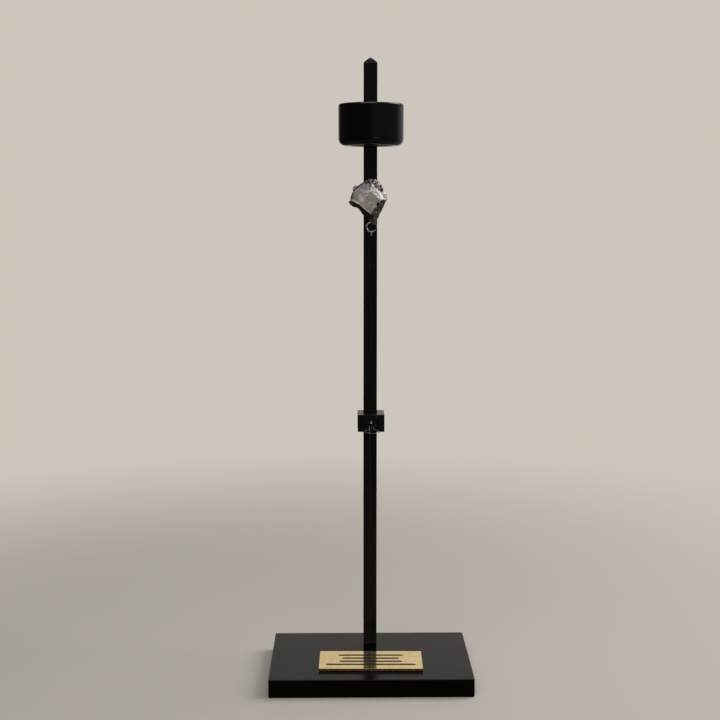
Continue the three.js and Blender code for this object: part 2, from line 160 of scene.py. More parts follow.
def smooth_line(points, step):
    """Points a step apart along a curve that passes smoothly through the given points."""
    points = [Vector(point) for point in points]
    ends = [2 * points[0] - points[1], *points, 2 * points[-1] - points[-2]]
    line = []
    for before, start, end, after in zip(ends, ends[1:], ends[2:], ends[3:]):
        knots = [0.0]
        for a, b in ((before, start), (start, end), (end, after)):
            knots.append(knots[-1] + max((b - a).length, 1e-9) ** 0.5)
        t0, t1, t2, t3 = knots
        count = max(1, round((end - start).length / step))
        for k in range(count):
            t = t1 + (t2 - t1) * k / count
            a1 = (before * (t1 - t) + start * (t - t0)) / (t1 - t0)
            a2 = (start * (t2 - t) + end * (t - t1)) / (t2 - t1)
            a3 = (end * (t3 - t) + after * (t - t2)) / (t3 - t2)
            b1 = (a1 * (t2 - t) + a2 * (t - t0)) / (t2 - t0)
            b2 = (a2 * (t3 - t) + a3 * (t - t1)) / (t3 - t1)
            line.append((b1 * (t2 - t) + b2 * (t - t1)) / (t2 - t1))
    return [*line, points[-1]]


def helix(centre, radius, axis, across, turns, pitch, start=0.0, steps=24):
    """Points of a helix about an axis, from the start angle, measured from `across`."""
    axis = Vector(axis).normalized()
    across = Vector(across).normalized()
    up = axis.cross(across)
    count = max(2, round(abs(turns) * steps))
    points = []
    for k in range(count + 1):
        part = turns * k / count
        angle = start + TURN * part
        out = across * math.cos(angle) + up * math.sin(angle)
        points.append(Vector(centre) + out * radius + axis * (pitch * abs(part)))
    return points


# ------------------------------------------------------------------ materials

class Look:
    """A material under construction, with short ways to add and join its nodes."""

    def __init__(self, name, **constants):
        self.material = bpy.data.materials.new(name)
        self.material.use_nodes = True
        self.tree = self.material.node_tree
        self.shader = self.tree.nodes["Principled BSDF"]
        for socket, value in constants.items():
            self.set(socket.replace("_", " "), value)
        place = self.node("ShaderNodeTexCoord").outputs["Object"]
        scaled = self.node("ShaderNodeVectorMath", operation="SCALE")
        self.join(scaled, 0, place)
        scaled.inputs["Scale"].default_value = 1 / MM
        self.place = scaled.outputs[0]

    def node(self, kind, **settings):
        made = self.tree.nodes.new(kind)
        for name, value in settings.items():
            setattr(made, name, value)
        return made

    def join(self, node, socket, value):
        """Sets a node's socket to a number or colour, or links it to another node's output."""
        target = node.inputs[socket]
        if isinstance(value, bpy.types.NodeSocket):
            self.tree.links.new(value, target)
        elif isinstance(value, tuple) and len(value) == 3 and target.type == "RGBA":
            target.default_value = (*value, 1)
        else:
            target.default_value = value

    def set(self, socket, value):
        self.join(self.shader, socket, value)

    def done(self, colour, roughness, normal):
        """The finished material."""
        self.set("Base Color", colour)
        self.set("Roughness", roughness)
        self.set("Normal", normal)
        return self.material

    def rotated(self, x, y, z):
        """The place on the object turned about the origin, in degrees."""
        node = self.node("ShaderNodeVectorRotate", rotation_type="EULER_XYZ")
        self.join(node, "Vector", self.place)
        self.join(node, "Rotation", tuple(math.radians(angle) for angle in (x, y, z)))
        return node.outputs[0]

    def stretched(self, x, y, z, place=None):
        """The place on the object with each axis scaled, for grain and brush marks."""
        node = self.node("ShaderNodeVectorMath", operation="MULTIPLY")
        self.join(node, 0, place or self.place)
        self.join(node, 1, (x, y, z))
        return node.outputs[0]

    def scaled(self, colour, factor):
        """The colour made lighter or darker by a factor."""
        node = self.node("ShaderNodeVectorMath", operation="SCALE")
        self.join(node, 0, colour)
        self.join(node, "Scale", factor)
        return node.outputs[0]

    def noise(self, size, detail=4.0, rough=0.5, place=None, distortion=0.0):
        """Smooth noise from 0 to 1, with features about `size` mm across."""
        node = self.node("ShaderNodeTexNoise")
        self.join(node, "Vector", place or self.place)
        self.join(node, "Scale", 1 / size)
        self.join(node, "Detail", detail)
        self.join(node, "Roughness", rough)
        self.join(node, "Distortion", distortion)
        return node.outputs["Fac"]

    def cells(self, size, feature="F1", place=None, output="Distance"):
        node = self.node("ShaderNodeTexVoronoi", feature=feature)
        self.join(node, "Vector", place or self.place)
        self.join(node, "Scale", 1 / size)
        return node.outputs[output]

    def mark(self, name):
        """A value painted on the mesh's vertices."""
        return self.node("ShaderNodeAttribute", attribute_name=name).outputs["Fac"]

    def level(self, value, low, high, start=0.0, end=1.0, smooth=True):
        """The value's stretch from low to high as start to end, held beyond them."""
        node = self.node("ShaderNodeMapRange", clamp=True)
        if smooth:
            node.interpolation_type = "SMOOTHSTEP"
        for socket, number in zip(range(5), (value, low, high, start, end)):
            self.join(node, socket, number)
        return node.outputs[0]

    def math(self, operation, a, b=0.0):
        node = self.node("ShaderNodeMath", operation=operation)
        self.join(node, 0, a)
        self.join(node, 1, b)
        return node.outputs[0]

    def times(self, a, b):
        return self.math("MULTIPLY", a, b)

    def plus(self, a, b):
        return self.math("ADD", a, b)

    def mix(self, part, a, b):
        """Colour a where part is 0 and colour b where it is 1."""
        node = self.node("ShaderNodeMix", data_type="RGBA")
        self.join(node, 0, part)
        self.join(node, 6, a)
        self.join(node, 7, b)
        return node.outputs[2]

    def bump(self, height, depth, under=None):
        """Relief that is `depth` mm deep where the height goes from 0 to 1."""
        node = self.node("ShaderNodeBump")
        node.inputs["Strength"].default_value = 1
        node.inputs["Distance"].default_value = depth * MM
        self.join(node, "Height", height)
        if under:
            self.join(node, "Normal", under)
        return node.outputs[0]


def base_lacquer():
    look = Look("base_lacquer", Metallic=0.0, IOR=1.22)
    cloud = look.noise(16, 3)
    haze = look.noise(3.2, 5, 0.6)
    dust = look.level(look.cells(2.6), 0.045, 0.02)
    black = look.mix(cloud, (0.0015, 0.0016, 0.0015), (0.003, 0.003, 0.0027))
    look.set("Base Color", look.mix(dust, black, (0.045, 0.042, 0.037)))
    satin = look.level(haze, 0.3, 0.75, 0.23, 0.28)
    look.set("Roughness", look.plus(satin, look.times(dust, 0.3)))
    peel = look.bump(look.noise(0.9, 2), 0.0018)
    look.set("Normal", look.bump(dust, 0.01, peel))
    return look.material


def rod_paint():
    look = Look("rod_paint", Metallic=0.0, IOR=1.5)
    drawn = look.noise(1, 4, 0.6, look.stretched(1.6, 1.6, 0.03))
    scuff = look.level(look.noise(7, 6, 0.7), 0.58, 0.75)
    look.set("Base Color", look.mix(scuff, (0.0028, 0.0028, 0.0036), (0.008, 0.0078, 0.0078)))
    look.set("Roughness", look.level(drawn, 0.3, 0.7, 0.11, 0.16))
    coat = look.bump(look.noise(0.9, 2), 0.001)
    look.set("Normal", look.bump(drawn, 0.004, coat))
    return look.material


def clamp_paint():
    """Black paint over a sawn block: duller in patches."""
    look = Look("clamp_paint", Metallic=0.0, IOR=1.39)
    patch = look.level(look.noise(2.4, 5, 0.65), 0.36, 0.66)
    look.set("Base Color", look.mix(patch, (0.0028, 0.0028, 0.0034), (0.009, 0.0085, 0.008)))
    look.set("Roughness", look.level(patch, 0, 1, 0.12, 0.3))
    sawn = look.noise(1, 3, 0.6, look.stretched(0.3, 2.2, 2.2))
    look.set("Normal", look.bump(sawn, 0.006, look.bump(look.noise(0.7, 2), 0.003)))
    return look.material


def drum_gloss():
    look = Look("drum_gloss", Metallic=0.0, IOR=1.5)
    wiped = look.noise(1, 5, 0.65, look.stretched(0.12, 0.12, 0.5))
    dust = look.level(look.cells(1.9), 0.04, 0.015)
    look.set("Base Color", look.mix(dust, (0.0018, 0.0018, 0.0024), (0.05, 0.047, 0.043)))
    film = look.level(wiped, 0.35, 0.8, 0.05, 0.1)
    look.set("Roughness", look.plus(film, look.times(dust, 0.4)))
    look.set("Normal", look.bump(look.noise(2.2, 2), 0.003))
    return look.material


def ferrite():
    look = Look("ferrite", Metallic=0.15, IOR=1.6)
    grain = look.noise(0.25, 5, 0.7)
    ground = look.noise(1, 3, 0.6, look.stretched(0.2, 3, 3))
    return look.done(
        look.mix(grain, (0.008, 0.008, 0.009), (0.03, 0.029, 0.029)),
        look.level(ground, 0.2, 0.8, 0.5, 0.72),
        look.bump(ground, 0.01, look.bump(grain, 0.012)),
    )


def steel(name, dark, bright, roughness):
    """Screw steel: `dark`, and `bright` in patches where it is rubbed."""
    look = Look(name, Metallic=1.0)
    steel_mix = look.level(look.noise(0.7, 6, 0.7), 0.42, 0.68)
    return look.done(
        look.mix(steel_mix, dark, bright),
        look.level(look.noise(0.22, 3), 0.3, 0.7, roughness - 0.06, roughness + 0.1),
        look.bump(look.noise(0.15, 3), 0.004),
    )


def grub_steel():
    """Black steel, lighter near its axis: rubbed bright in the socket, with a painted glint there."""
    look = Look("grub_steel", Metallic=1.0)
    # A painted glint: the steel is lighter within about a millimetre of the screw's axis, over its socket,
    # where it is also rubbed bright.
    away = look.node("ShaderNodeVectorMath", operation="SUBTRACT")
    look.join(away, 0, look.stretched(1, 0, 1))
    look.join(away, 1, (GRUB.x, 0, GRUB.z))
    far = look.node("ShaderNodeVectorMath", operation="LENGTH")
    look.join(far, 0, away.outputs[0])
    steel_mix = look.plus(far.outputs["Value"], look.level(look.noise(0.7, 4), 0.3, 0.7, -0.15, 0.15))
    return look.done(
        look.mix(look.level(steel_mix, 1.0, 0.75), (0.03, 0.03, 0.032), (0.62, 0.62, 0.63)),
        look.level(look.noise(0.22, 3), 0.3, 0.7, 0.3, 0.45),
        look.bump(look.noise(0.15, 3), 0.004),
    )


def silver():
    look = Look("silver", Metallic=1.0)
    tarnish = look.level(look.noise(1.3, 6, 0.65), 0.42, 0.66)
    # Blackened by tarnish, and by painted shade on the wire's right side.
    black = look.level(look.plus(look.mark("shaded_side"), look.times(tarnish, 0.4)), 0.45, 1.1)
    metal = look.mix(tarnish, (0.83, 0.81, 0.77), (0.4, 0.355, 0.3))
    return look.done(
        look.mix(black, metal, (0.07, 0.062, 0.055)),
        look.plus(look.level(look.noise(0.3, 4), 0.3, 0.7, 0.13, 0.25), look.times(tarnish, 0.18)),
        look.bump(look.noise(0.35, 4, 0.6), 0.012),
    )


def nylon():
    """Thin smoky thread, lighter at its knot under the ring and in its spare loop: milk-white where it is
    bunched, with a painted highlight there.
    """
    look = Look("nylon", Metallic=0.0, IOR=1.53)
    look.set("Specular IOR Level", 0.15)
    look.set("Transmission Weight", 0.3)
    split = look.node("ShaderNodeSeparateXYZ")
    look.join(split, 0, look.place)
    height = split.outputs["Z"]
    # Painted highlight: the thread lighter at the knot under the ring and in the spare loop, lighter towards
    # the loop's left, where it is also bunched.
    at_ring = look.level(height, RING_LOW.z - 2.6, RING_LOW.z - 1.6)
    at_loop = look.times(look.level(height, 185.2, 186.2), look.level(height, 191.7, 190.6))
    at_loop = look.times(at_loop, look.level(split.outputs["X"], 7.4, 5.2, 0.12, 0.66))
    milky_and_highlight = look.math("MAXIMUM", at_ring, at_loop)
    streak = look.noise(1, 3, 0.6, look.stretched(1.2, 1.2, 0.25))
    clear = look.mix(streak, (0.004, 0.004, 0.005), (0.012, 0.012, 0.013))
    dense = look.mix(streak, (0.24, 0.24, 0.245), (0.56, 0.56, 0.565))
    look.set("Base Color", look.mix(milky_and_highlight, clear, dense))
    worn = look.level(streak, 0.3, 0.7, 0.4, 0.52)
    look.set("Roughness", look.math("SUBTRACT", worn, look.level(milky_and_highlight, 0, 1, 0, 0.24)))
    look.set("Normal", look.bump(look.noise(0.4, 2), 0.006))
    return look.material


def brass():
    look = Look("brass", Metallic=0.9)
    brushed = look.noise(1, 5, 0.7, look.stretched(0.05, 5, 5))
    streaks = look.level(look.noise(1, 4, 0.6, look.stretched(0.16, 1.1, 1.1)), 0.38, 0.62)
    stain = look.level(look.noise(3.5, 6, 0.65), 0.46, 0.72)
    bare = look.mix(brushed, (0.8, 0.585, 0.235), (0.95, 0.75, 0.35))
    bare = look.mix(look.times(streaks, 0.4), bare, (0.98, 0.82, 0.46))
    look.set("Base Color", look.mix(look.times(stain, 0.5), bare, (0.66, 0.46, 0.2)))
    look.set("Roughness", look.plus(look.level(brushed, 0.3, 0.7, 0.07, 0.14),
                                    look.times(stain, 0.08)))
    ripple = look.bump(look.noise(3, 2), 0.003)
    look.set("Normal", look.bump(brushed, 0.0025, ripple))
    return look.material


def brass_edge():
    """The sheared edge of the plate: darker, with bright nicks."""
    look = Look("brass_edge", Metallic=0.8)
    nick = look.level(look.noise(1, 4, 0.7, look.stretched(0.9, 0.9, 2.0)), 0.52, 0.64)
    return look.done(
        look.mix(nick, (0.3, 0.16, 0.05), (0.95, 0.78, 0.45)),
        look.level(nick, 0, 1, 0.55, 0.3),
        look.bump(look.noise(0.6, 5, 0.7), 0.05),
    )


def black_fill():
    """Enamel wiped into the plate's grooves."""
    look = Look("black_fill", Metallic=0.0, IOR=1.45)
    grain = look.noise(0.3, 5, 0.7)
    return look.done(
        look.mix(grain, (0.006, 0.006, 0.006), (0.022, 0.02, 0.018)),
        look.level(grain, 0.3, 0.7, 0.4, 0.6),
        look.bump(grain, 0.02),
    )


def meteoric_iron():
    """Rubbed faces of grey iron, bright bare knobs and a dark fusion crust."""
    look = Look("meteoric_iron", IOR=1.6)
    cut = look.mark("cut")
    bare = look.mark("bare")
    pit = look.mark("pit")
    rim = look.mark("rim")
    warm = look.mark("warm")
    gold = look.mark("gold")
    tone_and_painted_light = look.mark("tone_and_painted_light")

    # The rubbed faces: cool or warm grey, clouded and mottled, with crossing bands of crystal and grains.
    cloud = look.level(look.noise(2.8, 5, 0.62), 0.36, 0.64)
    mottle = look.level(look.noise(1.4, 4, 0.6), 0.36, 0.64)
    grain = look.noise(0.3, 5, 0.75)
    bands = 0.0
    for turn in ((0, 14, 0), (0, 72, 20), (0, -48, -15)):
        lamella = look.noise(1, 3, 0.55, look.stretched(2.3, 0.9, 0.2, look.rotated(*turn)))
        bands = look.math("MAXIMUM", look.level(lamella, 0.56, 0.66), bands)
    cool = look.mix(cloud, (0.30, 0.30, 0.30), (0.50, 0.50, 0.505))
    tawny = look.mix(cloud, (0.368, 0.312, 0.262), (0.58, 0.512, 0.445))
    rubbed = look.mix(warm, cool, tawny)
    rubbed = look.scaled(rubbed, look.level(mottle, 0, 1, 0.88, 1.12, False))
    rubbed = look.scaled(rubbed, look.level(bands, 0, 1, 0.97, 1.2, False))
    rubbed = look.scaled(rubbed, look.level(grain, 0.3, 0.7, 0.92, 1.08))
    fleck = look.level(look.noise(1.3, 5, 0.65), 0.44, 0.5)
    pink = look.mix(look.level(look.noise(1.1, 3), 0.44, 0.56), (0.95, 0.66, 0.55), (1.0, 0.93, 0.82))
    rubbed = look.mix(look.times(fleck, gold), rubbed, pink)
    spot = look.level(look.noise(1.1, 4, 0.65, look.rotated(15, 50, 30)), 0.54, 0.6)
    rubbed = look.mix(look.times(spot, gold), rubbed, (0.2, 0.12, 0.095))
    speck = look.level(look.noise(0.6, 3, 0.6, look.rotated(40, 10, 70)), 0.6, 0.68)
    rubbed = look.mix(look.times(speck, 0.3), rubbed, (0.11, 0.085, 0.07))
    # Painted light and shade: each rubbed face made lighter or darker for the light that falls on it, and in
    # round spots.
    rubbed = look.scaled(rubbed, look.level(tone_and_painted_light, 0, 1, 0.1, 1.9, False))

    # The crust: near black to brown, paler where it is worn and stands proud.
    scale = look.noise(1.1, 6, 0.7)
    crust = look.mix(look.level(scale, 0.34, 0.66), (0.025, 0.0175, 0.015), (0.17, 0.132, 0.113))
    rust = look.level(look.noise(2.3, 5, 0.65), 0.5, 0.66)
    crust = look.mix(look.times(rust, 0.6), crust, (0.18, 0.115, 0.08))
    # Painted light and shade on the crust too, darkest on the lower left side.
    crust = look.scaled(crust, look.level(tone_and_painted_light, 0, 1, 0.25, 2.1, False))
    streak = look.noise(1, 5, 0.65, look.stretched(1.6, 1.6, 0.4, look.rotated(0, 38, 0)))
    proud = look.plus(streak, look.times(rim, 0.3))
    worn = look.level(proud, 0.58, 0.76)
    crust = look.mix(look.times(worn, 0.7), crust, (0.42, 0.37, 0.33))

    # Bare metal: bright knobs with dark hollows between them.
    knob = look.mix(look.level(look.noise(0.9, 5, 0.7), 0.35, 0.65), (0.7, 0.67, 0.69), (0.99, 0.96, 0.98))
    patch = look.plus(look.noise(1.3, 5, 0.65), look.times(bare, 0.2))
    shown = look.times(bare, look.level(patch, 0.47, 0.57))
    shown = look.times(shown, look.level(pit, 0, 0.5, 1, 0))
    crust = look.mix(shown, crust, knob)
    crust = look.mix(look.times(pit, 0.85), crust, (0.009, 0.006, 0.005))

    # The flat faces' edges: a painted highlight, near white, along the worn edges.
    edged = look.mix(look.times(rim, 0.85), rubbed, (0.95, 0.91, 0.87))
    edged = look.mix(look.times(look.times(cut, shown), 0.4), edged, knob)
    look.set("Base Color", look.mix(cut, crust, edged))
    metal = look.math("MAXIMUM", cut, shown)
    look.set("Metallic", look.level(metal, 0, 1, 0.04, 0.22, False))
    smooth = look.level(look.noise(1.6, 5, 0.6), 0.3, 0.7, 0.36, 0.48)
    coarse = look.level(scale, 0.3, 0.75, 0.5, 0.78)
    crusty = look.math("SUBTRACT", coarse, look.level(shown, 0, 1, 0, 0.28))
    blend = look.node("ShaderNodeMix", data_type="FLOAT")
    look.join(blend, 0, cut)
    look.join(blend, 2, crusty)
    look.join(blend, 3, smooth)
    look.set("Roughness", blend.outputs[0])

    skin = look.times(look.noise(0.55, 6, 0.72), look.level(cut, 0, 1, 1, 0))
    rough_skin = look.bump(skin, 0.16)
    lines = look.times(bands, cut)
    look.set("Normal", look.bump(lines, 0.012, look.bump(grain, 0.02, rough_skin)))
    return look.material


# ------------------------------------------------------------------ meshes

def rounded_rectangle(width, depth, corner, steps=8):
    """Corner points of a rectangle with round corners, anticlockwise, about the origin."""
    points = []
    for turn, (sx, sy) in enumerate(((1, 1), (-1, 1), (-1, -1), (1, -1))):
        cx = sx * (width / 2 - corner)
        cy = sy * (depth / 2 - corner)
        for k in range(steps + 1):
            angle = TURN / 4 * (turn + k / steps)
            points.append((cx + corner * math.cos(angle), cy + corner * math.sin(angle)))
    return points


def loft(loops):
    """A closed mesh through loops of equally many points, with flat ends."""
    bm = bmesh.new()
    rings = [[bm.verts.new(point) for point in loop] for loop in loops]
    count = len(rings[0])
    for lower, upper in zip(rings, rings[1:]):
        for k in range(count):
            after = (k + 1) % count
            bm.faces.new((lower[k], lower[after], upper[after], upper[k]))
    bm.faces.new(list(reversed(rings[0])))
    bm.faces.new(rings[-1])
    return finished(bm)


def finished(bm):
    bmesh.ops.recalc_face_normals(bm, faces=bm.faces)
    mesh = bpy.data.meshes.new("made")
    bm.to_mesh(mesh)
    bm.free()
    return mesh


def slab(width, depth, low, high, corner, ease, steps=4):
    """A slab about the origin from low to high, with round corners and rounded edges."""
    loops = []
    for k in range(steps + 1):
        angle = TURN / 4 * k / steps
        loops.append((ease * (1 - math.sin(angle)), low + ease * (1 - math.cos(angle))))
    for inset, z in list(reversed(loops)):
        loops.append((inset, high - (z - low)))
    return loft([[(x, y, z) for x, y in rounded_rectangle(width - 2 * inset, depth - 2 * inset,
                                                          max(corner - inset, 0.02))]
                 for inset, z in loops])


def turned(profile, count, swell=None):
    """A solid turned about Z from (radius, z) points; swell(angle, z, radius) may change a radius."""
    loops = []
    for radius, z in profile:
        loop = []
        for k in range(count):
            angle = TURN * k / count
            r = swell(angle, z, radius) if swell else radius
            loop.append((r * math.cos(angle), r * math.sin(angle), z))
        loops.append(loop)
    return loft(loops)


def arc(cx, cz, radius, start, end, steps):
    """(radius, z) points of an arc, angles in quarter turns."""
    points = []
    for k in range(steps + 1):
        angle = TURN / 4 * (start + (end - start) * k / steps)
        points.append((cx + radius * math.cos(angle), cz + radius * math.sin(angle)))
    return points


def moved(mesh, x=0.0, y=0.0, z=0.0):
    mesh.transform(Matrix.Translation((x, y, z)))
    return mesh


def cut(mesh, cutters):
    """The mesh less each of the cutters."""
    obj = bpy.data.objects.new("whole", mesh)
    bpy.context.scene.collection.objects.link(obj)
    tools = []
    for cutter in cutters:
        tool = bpy.data.objects.new("tool", cutter)
        bpy.context.scene.collection.objects.link(tool)
        modifier = obj.modifiers.new("cut", "BOOLEAN")
        modifier.operation = "DIFFERENCE"
        modifier.solver = "EXACT"
        modifier.object = tool
        tools.append(tool)
    graph = bpy.context.evaluated_depsgraph_get()
    result = bpy.data.meshes.new_from_object(obj.evaluated_get(graph))
    for each in (obj, *tools):
        bpy.data.objects.remove(each)
    return result


def smooth(mesh, degrees=35):
    """Smooth shading with an edge wherever faces meet at more than the angle."""
    mesh.polygons.foreach_set("use_smooth", [True] * len(mesh.polygons))
    mesh.set_sharp_from_angle(angle=math.radians(degrees))
    return mesh


def modified(mesh, kind, **settings):
    """The mesh with a modifier applied."""
    obj = bpy.data.objects.new("whole", mesh)
    bpy.context.scene.collection.objects.link(obj)
    modifier = obj.modifiers.new("change", kind)
    for name, value in settings.items():
        setattr(modifier, name, value)
    graph = bpy.context.evaluated_depsgraph_get()
    result = bpy.data.meshes.new_from_object(obj.evaluated_get(graph))
    bpy.data.objects.remove(obj)
    return result


def machined(mesh, degrees=35):
    """Shading that keeps large faces flat and rounds only the narrow ones between them."""
    return modified(smooth(mesh, degrees), "WEIGHTED_NORMAL", keep_sharp=True)


def paint(mesh, name, values):
    attribute = mesh.attributes.new(name, "FLOAT", "POINT")
    attribute.data.foreach_set("value", np.clip(values, 0, 1).astype(np.float32))


def post(radius, low, high, x=0.0, y=0.0, count=48):
    return moved(turned([(radius, low), (radius, high)], count), x, y)


def pin(radius, front, back, x, z, count=48):
    """A cylinder along Y."""
    mesh = turned([(radius, -back), (radius, -front)], count)
    mesh.transform(Matrix.Translation((x, 0, z)) @ Matrix.Rotation(math.radians(90), 4, "X"))
    return mesh


def block(low, high):
    bm = bmesh.new()
    size = Vector(high) - Vector(low)
    centre = (Vector(high) + Vector(low)) / 2
    bmesh.ops.create_cube(bm, size=1, matrix=Matrix.Translation(centre) @ Matrix.Diagonal((*size, 1)))
    return finished(bm)


# ------------------------------------------------------------------ thread

NYLON = nylon()
WRAP_RADIUS = GRUB_RADIUS + THREAD_RADIUS
WRAP_PITCH = 2 * THREAD_RADIUS + 0.02
KNOT_WRAP = 2 * THREAD_RADIUS

# From the grub screw's underside down to the spare loop, in metres.
TAIL_ROUTE = [(0.0016, 0.00005, 0.1918), (0.0020, -0.00005, 0.1904), (0.0024, 0.00035, 0.1890)]
LOOP_CENTRE = Vector((0.0014, -0.0053, 0.1879))
LOOP_RADIUS = 0.0057
LOOP_TILT = math.radians(4)
LOOP_START = math.radians(104)
LOOP_TURNS = 0.96


def metres(points):
    return [Vector(point) * MM for point in points]


def loop_point(turned_by):
    """The middle of the thread after this part of its turn."""
    angle = LOOP_START - TURN * turned_by
    flat = Vector((math.cos(angle), math.sin(angle), 0)) * LOOP_RADIUS
    return LOOP_CENTRE + Matrix.Rotation(LOOP_TILT, 3, "X") @ flat


def spare_loop():
    """The spare thread: one loop under the grub screw, whose end goes back up to it."""
    steps = round(LOOP_TURNS * 40)
    loop = [loop_point(LOOP_TURNS * k / steps) for k in range(1, steps + 1)]
    end = [
        (0.0002, 0.00025, 0.18865),
        (0.0008, 0.0003, 0.1898),
        (0.0010, 0.00035, 0.1910),
        (0.0009, 0.0004, 0.19205),
    ]
    # The end passes behind the lower thread.
    route = smooth_line([*TAIL_ROUTE, *loop[3::5], *end], 0.0002)
    cord = strand("spare_thread", route, NYLON, ["thread_tail", "thread_coil"])


def wrap(y_back, y_front, start, turns):
    """Turns of thread round the grub screw, from the back to the front, seen from the front."""
    centre = Vector((GRUB.x, y_back, GRUB.z))
    pitch = (y_back - y_front) / max(turns, 0.01)
    return helix(centre, WRAP_RADIUS, (0, -1, 0), (1, 0, 0), turns, pitch, start, 28)


def knotted(middle, wraps, lean):
    """A tag end, wraps upwards round the standing thread, for a knot just under `middle`."""
    low = Vector(middle) - Vector((0, 0, wraps * WRAP_PITCH))
    coils = helix(low, KNOT_WRAP, (0, 0, 1), (1, 0, 0), wraps, WRAP_PITCH, 0, 16)
    tag = low + Vector((KNOT_WRAP + lean, -0.3, -0.5))
    return [tag, *coils]


def upper_thread():
    """Knotted round the ring, down to the grub screw and wound on it."""
    eye = Vector((RING.x, RING.y, RING.z - RING_RADIUS))
    loop_radius = RING_WIRE + THREAD_RADIUS + 0.06
    knot_top = Vector((eye.x, eye.y, eye.z - loop_radius - 0.35))
    loop = helix(eye, loop_radius, (1, 0, 0), (0, 0, -1), 0.84, 0.15, TURN * 0.08, 20)
    down = [
        knot_top,
        knot_top - Vector((0, 0, 1.6)),
        (-1.0, -9.4, 326),
        (-1.5, -8.9, 319.5),
        (-1.2, -8.4, 313.5),
        (-0.9, -7.5, 302),
        (-0.9, -6.8, 293),
        (-0.5, -5.9, 281),
        (-0.3, -5.0, 269.5),
        (-0.2, -3.9, 256),
        (0.0, -2.8, 241),
        (0.1, -1.3, 220),
        (0.2, -0.1, 205),
        (-0.3, 0.8, 199.5),
    ]
    wound = wrap(CLAMP_LOW.y - 0.25, CLAMP_LOW.y - 0.25 - WRAP_PITCH, TURN / 2, 1.0)
    start = knotted(knot_top, 3.25, 0.3)
    line = [*smooth_line(start, 0.12), *smooth_line(loop, 0.12), *smooth_line([*down, *wound], 0.25)]
    strand("upper_line", metres(line), NYLON, ["upper_thread"])


def lower_thread():
    """From the grub screw, over the plate, through the base, to a knot in the pocket under it."""
    back = CLAMP_LOW.y - 0.25 - WRAP_PITCH
    wound = wrap(back, back - WRAP_PITCH, TURN / 2, 1.0)
    pocket = BASE_LOW.z + 3.7
    down = [
        (-0.95, 0.2, 191.0),
        (-0.5, -2.0, 185.5),
        (-0.5, -3.2, 180),
        (-0.6, -4.6, 172),
        (-0.6, -7.8, 160),
        (-0.8, -11.5, 145),
        (-1.0, -18.7, 116.5),
        (-1.1, -25.8, 88),
        (-1.2, -32.2, 62.5),
        (-1.5, -39.6, 33),
        ANCHOR + Vector((0.3, 0.35, 0.4)),
        ANCHOR - Vector((0, 0, 5)),
        (ANCHOR.x, ANCHOR.y, pocket),
    ]
    end = Vector((ANCHOR.x, ANCHOR.y, pocket))
    up = Vector((0, 0, 1))
    knot = helix(end + 1.3 * up, KNOT_WRAP + 0.1, -up, (1, 0, 0), 4.5, 0.42, 0, 16)
    stopper = helix(end + 1.2 * up, 3 * THREAD_RADIUS + 0.3, -up, (0, 1, 0), 2.5, 0.45, 0, 16)
    line = smooth_line([*wound, *down], 0.25)
    tag = end + Vector((1.2, -0.4, -0.9))
    ball = smooth_line([line[-1], *reversed(knot), *stopper, tag], 0.15)
    strand("lower_line", metres([*line, *ball[1:]]), NYLON, ["lower_thread"])


spare_loop()
upper_thread()
lower_thread()


# ------------------------------------------------------------------ ring

def split_ring():
    """Silver wire bent to a ring, whose ends meet beside the stone."""
    opening = math.radians(34)
    gap = math.radians(2.2)
    count = 120
    sides = 20
    loops = []
    for k in range(count + 1):
        angle = opening + gap / 2 + (TURN - gap) * k / count
        out = Vector((math.cos(angle), 0, math.sin(angle)))
        end = min(k, count - k) / count * (TURN - gap) * RING_RADIUS
        wire = RING_WIRE * min(1.0, 0.72 + end)
        wire *= 1 + 0.015 * math.sin(5 * angle)
        centre = RING + out * RING_RADIUS
        section = [TURN * j / sides for j in range(sides)]
        loops.append([centre + (out * math.cos(a) + Vector((0, 1, 0)) * math.sin(a)) * wire for a in section])
    wire = smooth(loft(loops), 50)
    # Painted shade: the wire made darker on its right side.
    shaded_side = [0.5 + 0.5 * math.cos(math.atan2(v.co.z - RING.z, v.co.x - RING.x) - math.radians(20))
            for v in wire.vertices]
    paint(wire, "shaded_side", shaded_side)
    piece("split_ring", wire, silver(), ["ring"])


split_ring()


# ------------------------------------------------------------------ base, rod and drum

ROD_MIDDLE_Y = (ROD_LOW.y + ROD_HIGH.y) / 2
ROD_SIDE = ROD_HIGH.x - ROD_LOW.x
DRUM_RADIUS = DRUM_HIGH.x
DRUM_AXIS_Y = DRUM_LOW.y + DRUM_RADIUS
DRUM_FILLETS = (5.3, 1.2)
BLACK_PAINT = rod_paint()


def base():
    width, depth, height = BASE_HIGH - BASE_LOW
    foot_radius = FOOT_HIGH.x + GAP
    pocket_top = FOOT_LOW.z + FOOT_HEAD_HEIGHT + GAP
    body = cut(slab(width, depth, BASE_LOW.z, BASE_HIGH.z, 1.6, 0.6), [
        post(foot_radius, -1, pocket_top, 0, ROD_MIDDLE_Y),
        post(FOOT_SHANK + GAP, -1, height + 1, 0, ROD_MIDDLE_Y),
        post(ANCHOR_HOLE, -1, height + 1, ANCHOR.x, ANCHOR.y, 24),
        post(ANCHOR_POCKET, -1, ANCHOR_POCKET_HEIGHT, ANCHOR.x, ANCHOR.y),
    ])
    piece("base_slab", machined(body), base_lacquer(), ["base_plate"])


